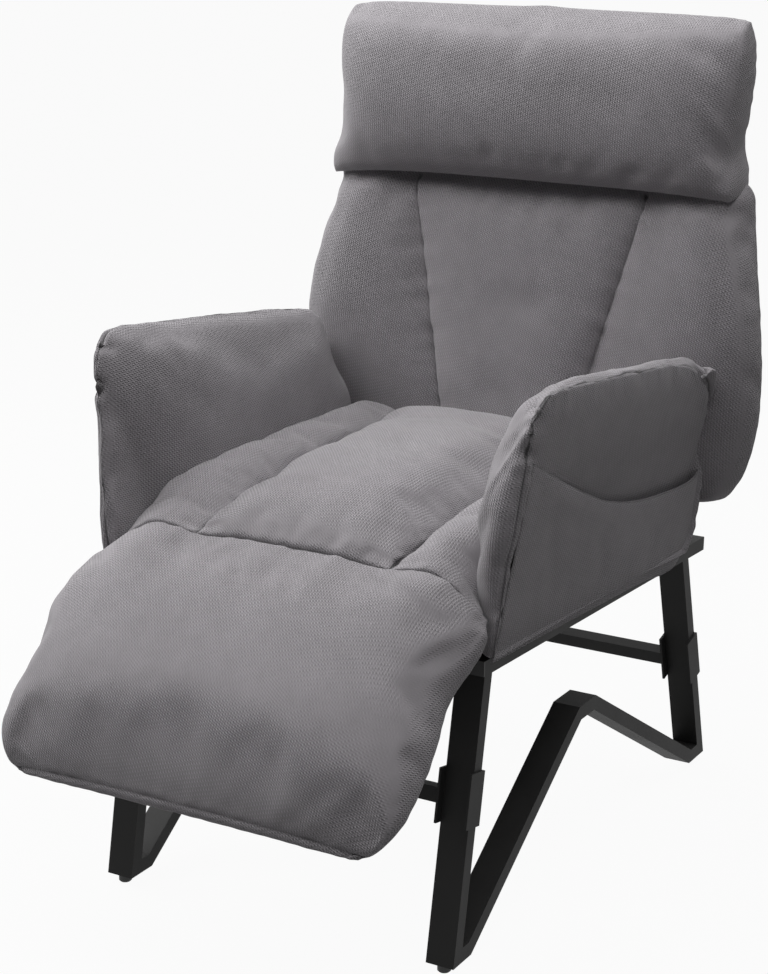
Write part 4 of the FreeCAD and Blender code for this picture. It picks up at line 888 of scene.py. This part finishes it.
def cover_sizes(wide, long):
    """The run from the tip in mm, the share of the half width and the x of points of the footrest cover."""
    share = (long + 1) / 2
    run = COVER_LONG * (0.62 * share + 0.38 * share * share)
    tip = np.clip(1 - run / TIP_REACH, 0.0, 1.0)
    waist = COVER_WAIST * np.sin(np.pi * np.clip(run / FOOT_LONG, 0, 1))
    half = COVER_HALF - TIP_ROUND * (1 - dome(tip)) - waist - SEAM_NARROW * ease(run, FOOT_LONG, COVER_LONG)
    half = half - np.where(wide > 0, RIGHT_WAIST, -LEFT_SWELL) * near(run - WAIST_RUN, WAIST_REACH)
    half = half - np.where(wide > 0, RIGHT_NARROW, 0.0) * ease(run, RIGHT_NARROW_RUN, COVER_LONG)
    across = even_ends(wide * COVER_SPREAD) / even_ends(COVER_SPREAD)
    return run, across, half * across


def lay(x, run, height):
    """Wrap a run from the tip and a height over the footrest's slope and its roll."""
    turn = np.clip((run - FOOT_LONG) / ROLL_REACH, 0.0, None)
    ahead = np.clip(FOOT_LONG - run, 0.0, None)
    angle = FOOT_SLOPE - turn
    lap = SEAM_LAP * ease(run, COVER_LONG - LAP_REACH, COVER_LONG)
    y = FOOT_AXIS[0] - ahead * math.cos(FOOT_SLOPE) - height * np.sin(angle) + lap
    z = FOOT_AXIS[1] - ahead * math.sin(FOOT_SLOPE) + height * np.cos(angle)
    return stack(x, y, z)


def footrest_cover():
    def top(wide, long):
        run, across, x = cover_sizes(wide, long)
        crest = smooth(run, *COVER_CREST)
        edge = crest - smooth(run, *COVER_EDGE_FALL) * np.where(wide > 0, 1.0, COVER_LEFT_FALL)
        full = np.clip(1 - np.abs(across) ** 4.5, 0.0, 1.0) ** 0.5
        pad = edge + (crest - edge) * full - COVER_SIDE_FALL * across ** 2
        at_seam = smooth(np.abs(x), *SEAM_LINE) - FOOT_AXIS[1]
        return lay(x, run, pad + (at_seam - pad) * ease(run, FOOT_LONG - SEAM_BLEND, COVER_LONG))

    def under(wide, long):
        run, across, x = cover_sizes(wide, long)
        hem = smooth(run, *COVER_CREST) - smooth(run, *COVER_HEM_FALL)
        low = smooth(run, *COVER_LOW)
        raised = np.clip(hem - low, 0.0, None) * np.abs(across) ** 5
        return lay(x * COVER_UNDER_SHARE, run, low + raised)

    def bulge(wide, long):
        ends = np.where(long < 0, COVER_TIP_BULGE, 0.0)
        return np.where(both_ends(wide), COVER_SIDE_BULGE, ends)

    piece, wide, long, deep = lens("footrest_cover", COVER_COUNTS, top, under, bulge)
    upper = first_row(deep)
    hem = both_ends(wide) & last_row(deep) | both_ends(long)
    fill(piece, ~upper | hem, upper.astype(float), pressure=3.0, slack=0.02, cap=7.0)
    settle(piece, (deep < 1 - EPS) & ~hem, 6)
    refine(piece)
    width = np.linspace(-1, 1, 120)
    length = np.linspace(-1, 1, 80)
    for side, seed in ((1.0, 31), (-1.0, 32)):
        sew(piece, under(np.full_like(length, side), length), seed=seed, **COVER_SIDE_SEAM)
    sew(piece, top(width, np.full_like(width, -1.0)), seed=33, **COVER_TIP_SEAM)
    sew(piece, top(width, np.full_like(width, 1.0)), seed=34, **COVER_SEAT_SEAM)
    crease(piece, COVER_FOLDS)
    dress(piece, "footrest_cushion")
    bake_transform(piece)


# Arms and their side pockets: all are drawn on the right, and the left-hand ones are then mirrored over

ARM_OUTER = 286.0
ARM_THICK = 47.0
ARM_LONG, ARM_TALL = 560.0, 310.0
# outlines as points (y, z) in mm
SEAM_EDGES = {
    "low": [(330, 369), (200, 374), (0, 384), (-120, 389), (-226, 393)],
    "high": [(296, 628), (262, 648), (220, 660), (120, 674), (0, 689), (-100, 701), (-140, 705),
             (-163, 702), (-179, 690)],
    "rear": [(330, 369), (345, 392), (350, 440), (350, 500), (346, 545), (337, 580), (320, 608),
             (296, 628)],
    "front": [(-226, 393), (-222, 446), (-208, 509), (-199, 565), (-195, 620), (-193, 652), (-190, 673),
              (-179, 690)],
}
INNER_EDGES = {
    "low": [(328, 369), (200, 374), (0, 384), (-120, 389), (-204, 393)],
    "high": [(322, 632), (296, 648), (240, 658), (120, 672), (0, 689), (-80, 698), (-120, 697),
             (-145, 688), (-160, 677)],
    "rear": [(328, 369), (342, 392), (347, 440), (347, 500), (345, 550), (340, 592), (334, 616),
             (322, 632)],
    "front": [(-204, 393), (-206, 440), (-214, 478), (-220, 515), (-218, 560), (-207, 605), (-193, 640),
              (-177, 664), (-160, 677)],
}
# how far the seat presses an arm outwards, over mm ahead of the middle
SEAT_PRESS = ((40, 77, 128, 160, 179, 204, 220), (0, 7, 18, 29, 37, 45, 48))
ARM_EDGE_FULL, ARM_REAR_FULL = 0.30, 0.40
ARM_CROWN = 6.0
ARM_FLARE, ARM_FLARE_FALL = 11.0, 0.044
ARM_INSET = 1.5
ARM_EAR, ARM_EAR_REACH = 25.0, 36.0
ARM_COUNTS = (68, 8, 48)
ARM_SEAM = dict(depth=2.2, width=2.4, reach=16.0, pitch=34.0, seed=41)
ARM_FOLDS = [
    ([(302, -178, 631), (304, -202, 641), (297, -210, 646), (282, -207, 645)], 8.0, -7.0),
    ([(305, -196, 658), (298, -206, 662), (284, -205, 662)], 9.0, 3.0),
    ([(303, -203, 620), (296, -212, 624), (282, -212, 626)], 9.0, 3.0),
    ([(308, -176, 680), (298, -184, 690), (284, -182, 688)], 6.0, -3.0),
    ([(308, 262, 660), (304, 310, 622), (298, 336, 586)], 7.0, -5.0),
    ([(308, 290, 650), (305, 330, 612), (299, 350, 580)], 8.0, 3.0),
    ([(296, -212, 520), (270, -232, 500)], 16.0, -2.0),
    ([(248, -120, 640), (246, -60, 600), (240, -20, 560)], 20.0, -2.0),
    ([(250, 60, 640), (244, 110, 590)], 20.0, -2.0),
    ([(258, -170, 660), (250, -150, 620)], 9.0, -2.0),
    ([(262, -130, 672), (252, -118, 630)], 9.0, -1.8),
    ([(262, -90, 672), (252, -84, 635)], 9.0, -1.5),
]
# what differs between the sides: stretch of the outline, the inner panel's share of the seam's outline,
# roundness of the front, the seat's press with its zone in z and its start behind the front, splay, welt
RIGHT = SimpleNamespace(
    name="right", mirrored=False, puff=9.0, ahead=4.0, taller=4.0, seam_share=0.0, rear_in=0.0,
    blunt=0.50, blunt_reach=45.0, blunt_power=2.6,
    press=0.45, press_zone=(550.0, 500.0), press_start=(0.0, 35.0),
    splay=7.0, splay_run=(0.25, 0.0), welt=0.75, gather=1.2,
)
LEFT = SimpleNamespace(
    name="left", mirrored=True, puff=3.0, ahead=12.0, taller=7.0, seam_share=0.85, rear_in=16.0,
    blunt=0.22, blunt_reach=150.0, blunt_power=1.7,
    press=1.0, press_zone=(660.0, 480.0), press_start=(-2.0, -1.0),
    splay=3.0, splay_run=(0.5, 1.0), welt=0.0, gather=0.3,
)


def lean_out(points):
    """Lean upright right-hand arm points outwards about the level line at the pivot height."""
    x, z = points[..., 0] - ARM_OUTER, points[..., 2] - ARM_PIVOT_Z
    turned = points.copy()
    turned[..., 0] = ARM_OUTER + x * math.cos(ARM_LEAN) + z * math.sin(ARM_LEAN)
    turned[..., 2] = ARM_PIVOT_Z - x * math.sin(ARM_LEAN) + z * math.cos(ARM_LEAN)
    return turned


def arm_pad(side):
    """An arm: its stuffed inner panel wraps to a seam on the outer face; puff lifts it over that seam."""
    seam_face, inner_face = patch(**SEAM_EDGES), patch(**INNER_EDGES)

    def shares(wide, long):
        return (even_ends(wide) + 1) / 2, (even_ends(long) + 1) / 2

    def reshape(y, z, forward, up):
        ahead = side.ahead * ease(forward, 0.5, 1.0) * ease(up, 0.0, 0.4)
        return y - ahead, z + side.taller * ease(up, 0.4, 1.0)

    def inner(wide, long):
        forward, up = shares(wide, long)
        below, behind = (1 - up) * ARM_TALL, (1 - forward) * ARM_LONG
        flat = inner_face(forward, up)
        to_seam = side.seam_share * ease(forward, 0.3, 0.7)
        y, z = reshape(*(flat + (seam_face(forward, up) - flat) * to_seam[:, None]).T, forward, up)
        y = y - side.rear_in * ease(forward, 0.35, 0.0)
        z = z + (side.puff - 4) * near(below, 60) * ease(forward, 0.0, 0.3)
        full = ARM_EDGE_FULL + (1 - ARM_EDGE_FULL) * rise(below, 160 - 6 * side.puff)
        at_front = (1 - np.clip(behind / side.blunt_reach, 0, 1)) ** side.blunt_power
        full = full * (side.blunt + (1 - side.blunt) * (1 - at_front))
        full = full * (ARM_REAR_FULL + (1 - ARM_REAR_FULL) * rise(forward * ARM_LONG, 60))
        pressed = smooth(-y, *SEAT_PRESS) * ease(z, *side.press_zone) * side.press
        pressed = pressed * ease(behind, *side.press_start)
        thinnest = 3.0 + 6.0 * ease(z, 520, 600)
        return lean_out(stack(ARM_OUTER - np.maximum(ARM_THICK * full - pressed, thinnest), y, z))

    def outer(wide, long):
        forward, up = shares(wide, long)
        below = (1 - up) * ARM_TALL
        y, z = reshape(*seam_face(forward, up).T, forward, up)
        front_hem = near((1 - forward) * ARM_LONG, 15) * ease(z, 700, 620)
        rear_hem = near(forward * ARM_LONG, 12) * ease(z, 520, 470)
        hemmed = np.maximum(front_hem, np.maximum(rear_hem, near(up * ARM_TALL, 12)))
        flare = (ARM_FLARE - (z - ARM_PIVOT_Z) * ARM_FLARE_FALL) * hemmed
        crown = ARM_CROWN * dome(2 * forward - 1) * ease(up, 0.45, 0.7) * rise(below, 60)
        splay = side.splay * ease(forward, *side.splay_run)
        lowered = (side.puff - 3) * near(below, 40)
        return lean_out(stack(ARM_OUTER - ARM_INSET + flare + crown + splay, y, z - lowered))

    def bulge(wide, long):
        at_front = side.puff * (1.5 * ease(long, 1.0, 0.7) * ease(long, -0.8, -0.4) + 0.5)
        at_rear = 5.0 + 5.0 * ease(long, 0.2, 0.7)
        upright = np.where(last_row(wide), at_front, np.where(last_row(long), side.puff, at_rear))
        return np.where(first_row(long), 0.0, upright)

    piece, wide, long, deep = lens(f"{side.name}_arm_pad", ARM_COUNTS, inner, outer, bulge)
    ear = ARM_EAR * near((even_ends(wide) + 1) / 2 * ARM_LONG, ARM_EAR_REACH) * ease(long, 0.0, 0.5)
    ear = ear * (1 - 0.6 * ease(long, 0.7, 1.0)) * (0.25 + 0.75 * ease(deep, 0.9, -0.2))
    write_points(piece, read_points(piece) + stack(ear, 0.0, 0.0) * MM)
    room = np.where(last_row(deep), 0.45 * ease(long, -0.1, 0.3), ease(long, -0.85, -0.5))
    welted = np.abs(deep - side.welt) < EPS
    rear_row = welted & first_row(wide)
    top_row = welted & last_row(long)
    front_row = welted & last_row(wide)
    sewn = rear_row | top_row | front_row | first_row(long)
    fill(piece, sewn, room, pressure=3.5, slack=0.02, cap=7.0)
    settle(piece, ~sewn & (deep < 1 - EPS), 6)
    points = read_points(piece) / MM
    rows = ((rear_row, long), (top_row, wide), (front_row, -long))
    line = np.concatenate([points[row][np.argsort(share[row])] for row, share in rows])
    refine(piece)
    sew(piece, line, gather=side.gather, **ARM_SEAM)
    crease(piece, ARM_FOLDS)
    if side.mirrored:
        mirror_over(piece)
    dress(piece, f"{side.name}_arm_cushion")
    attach(piece, "base")


POCKET_EDGES = {
    "low": [(344, 364), (326, 349), (290, 347), (234, 355), (120, 364), (6, 372), (-100, 379), (-220, 386)],
    "high": [(352, 486), (325, 478), (290, 475), (220, 480), (119, 497), (52, 516), (-20, 545), (-78, 572),
             (-140, 603), (-187, 626)],
    "rear": [(344, 364), (353, 388), (355, 420), (354, 455), (352, 486)],
    "front": [(-220, 386), (-218, 446), (-206, 509), (-197, 560), (-191, 600), (-187, 626)],
}
PANEL_X, PANEL_LEAN = 293.0, 0.114
PANEL_THICK = 3.0
POCKET_BELLY, POCKET_REAR_GAPE = 3.0, 5.0
POCKET_TALL, POCKET_TUCK, POCKET_TUCK_REACH = 110.0, 5.0, 12.0
POCKET_COUNTS = (76, 2, 36)
POCKET_HEM = 0.90
POCKET_HEM_SEAM = dict(depth=0.7, width=2.5, gather=0.0, reach=10.0, pitch=30.0, seed=51, seam_shade=0.45)
POCKET_FRONT_SEAM = dict(depth=0.8, width=2.5, gather=0.6, reach=14.0, pitch=30.0, seed=52, seam_shade=0.7)
POCKET_FOLDS = [
    ([(296, -130, 560), (286, -96, 470), (281, -90, 400)], 20.0, -1.6),
    ([(288, 30, 500), (283, 48, 450), (277, 52, 385)], 18.0, -1.6),
    ([(285, 190, 470), (281, 215, 420), (276, 210, 372)], 16.0, -1.8),
    ([(300, -150, 590), (294, -60, 545), (288, 40, 500)], 14.0, 1.6),
]


def pocket(side):
    """A pocket panel over an arm's outer face, tucked in at its foot and along its mouth."""
    panel = patch(**POCKET_EDGES)

    def face(wide, long, off):
        up = (even_ends(long) + 1) / 2
        y, z = panel((wide + 1) / 2, up).T
        gape = POCKET_REAR_GAPE * ease(wide, -0.6, -0.88) * ease(wide, -1.0, -0.92) * up ** 2
        belly = POCKET_BELLY * dome(wide) * up ** 0.7 + gape
        tucked = POCKET_TUCK * (near(up * POCKET_TALL, POCKET_TUCK_REACH) + up ** 3 * dome(wide))
        return stack(PANEL_X + (z - ARM_PIVOT_Z) * PANEL_LEAN + belly - tucked + off, y, z)

    def outer(wide, long):
        return face(wide, long, PANEL_THICK)

    def inner(wide, long):
        return face(wide, long, 0.0)

    def bulge(wide, long):
        return np.ones_like(wide)

    piece = lens(f"{side.name}_pocket_panel", POCKET_COUNTS, inner, outer, bulge)[0]
    refine(piece)
    width = np.linspace(-1, 1, 90)
    height = np.linspace(-1, 1, 50)
    sew(piece, outer(width, np.full_like(width, POCKET_HEM)), **POCKET_HEM_SEAM)
    sew(piece, outer(np.ones_like(height), height), **POCKET_FRONT_SEAM)
    crease(piece, POCKET_FOLDS)
    if side.mirrored:
        mirror_over(piece)
    dress(piece, f"{side.name}_pocket", f"{side.name}_pocket_welt")
    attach(piece, "base")


# Floor, light and camera

FLOOR_HALF = 30.0
FLOOR_WHITE = 0.95
WORLD_FILL = 0.07
# softboxes: place and aim in metres, width and height, watts
LAMPS = (
    ("top_softbox", (0.0, 0.2, 2.9), (0.0, 0.0, 0.5), (3.6, 3.2), 90.0),
    ("left_softbox", (-2.6, 0.0, 2.2), (0.0, 0.0, 0.5), (1.8, 1.8), 88.0),
    ("front_softbox", (-0.2, -1.0, 3.0), (0.0, 0.0, 0.5), (3.0, 1.6), 20.0),
)
SEEN_RAYS = ("Is Camera Ray", "Is Glossy Ray", "Is Transmission Ray")


def seen_share(tree):
    """1 on rays that show a surface, straight or in a reflection, and 0 on rays that only light it."""
    rays = tree.nodes.new("ShaderNodeLightPath")
    camera_ray, glossy, through = (Sock(tree, rays.outputs[name]) for name in SEEN_RAYS)
    return camera_ray + glossy + through


def studio_floor():
    """A floor that is seen white, as the photo's ground, but lights the chair as a pale grey one."""
    bpy.ops.object.select_all(action="DESELECT")
    bpy.ops.mesh.primitive_plane_add(size=2)
    floor = bpy.context.object
    floor.name = "studio_floor"
    write_points(floor, read_points(floor) * FLOOR_HALF)
    finish = Finish("pale_floor")
    tree = finish.tree
    place = finish.node("ShaderNodeTexCoord", out=3)
    finish.set(Base_Color=finish.shade(finish.noise(place, 3.0), grey(0.28), grey(0.32)), Roughness=0.9)
    glow = finish.node("ShaderNodeEmission", Color=(1, 1, 1, 1), Strength=1.0)
    mix = tree.nodes.new("ShaderNodeMixShader")
    tree.links.new((seen_share(tree) * FLOOR_WHITE).socket, mix.inputs[0])
    tree.links.new(finish.shader.outputs[0], mix.inputs[1])
    tree.links.new(glow.socket, mix.inputs[2])
    output = next(node for node in tree.nodes if node.type == "OUTPUT_MATERIAL")
    tree.links.new(mix.outputs[0], output.inputs["Surface"])
    floor.data.materials.append(finish.material)


def studio_light():
    world = bpy.context.scene.world or bpy.data.worlds.new("studio")
    bpy.context.scene.world = world
    world.use_nodes = True
    tree = world.node_tree
    backdrop = tree.nodes["Background"]
    backdrop.inputs["Color"].default_value = (1, 1, 1, 1)
    strength = seen_share(tree).sum("MINIMUM", 1.0) * (1 - WORLD_FILL) + WORLD_FILL
    tree.links.new(strength.socket, backdrop.inputs["Strength"])
    for name, place, aim, size, power in LAMPS:
        data = bpy.data.lights.new(name, "AREA")
        data.shape = "RECTANGLE"
        data.size, data.size_y = size
        data.energy = power
        lamp = bpy.data.objects.new(name, data)
        bpy.context.collection.objects.link(lamp)
        lamp.location = place
        lamp.rotation_euler = (Vector(aim) - Vector(place)).to_track_quat("-Z", "Y").to_euler()


def photo_camera():
    data = bpy.data.cameras.new("photo_camera")
    data.lens = 83.44
    data.sensor_width = 36.0
    data.sensor_fit = "AUTO"
    view = bpy.data.objects.new("photo_camera", data)
    bpy.context.collection.objects.link(view)
    view.location = (1.4130, -2.4077, 1.3349)
    view.rotation_euler = (math.radians(73.418), 0.0, math.radians(30.463))
    bpy.context.scene.camera = view


dress_frame()
headrest()
back_pad()
seat_pad()
footrest_cover()
for side in (RIGHT, LEFT):
    arm_pad(side)
    pocket(side)
studio_floor()
studio_light()
photo_camera()
bpy.context.scene.view_settings.view_transform = "Standard"
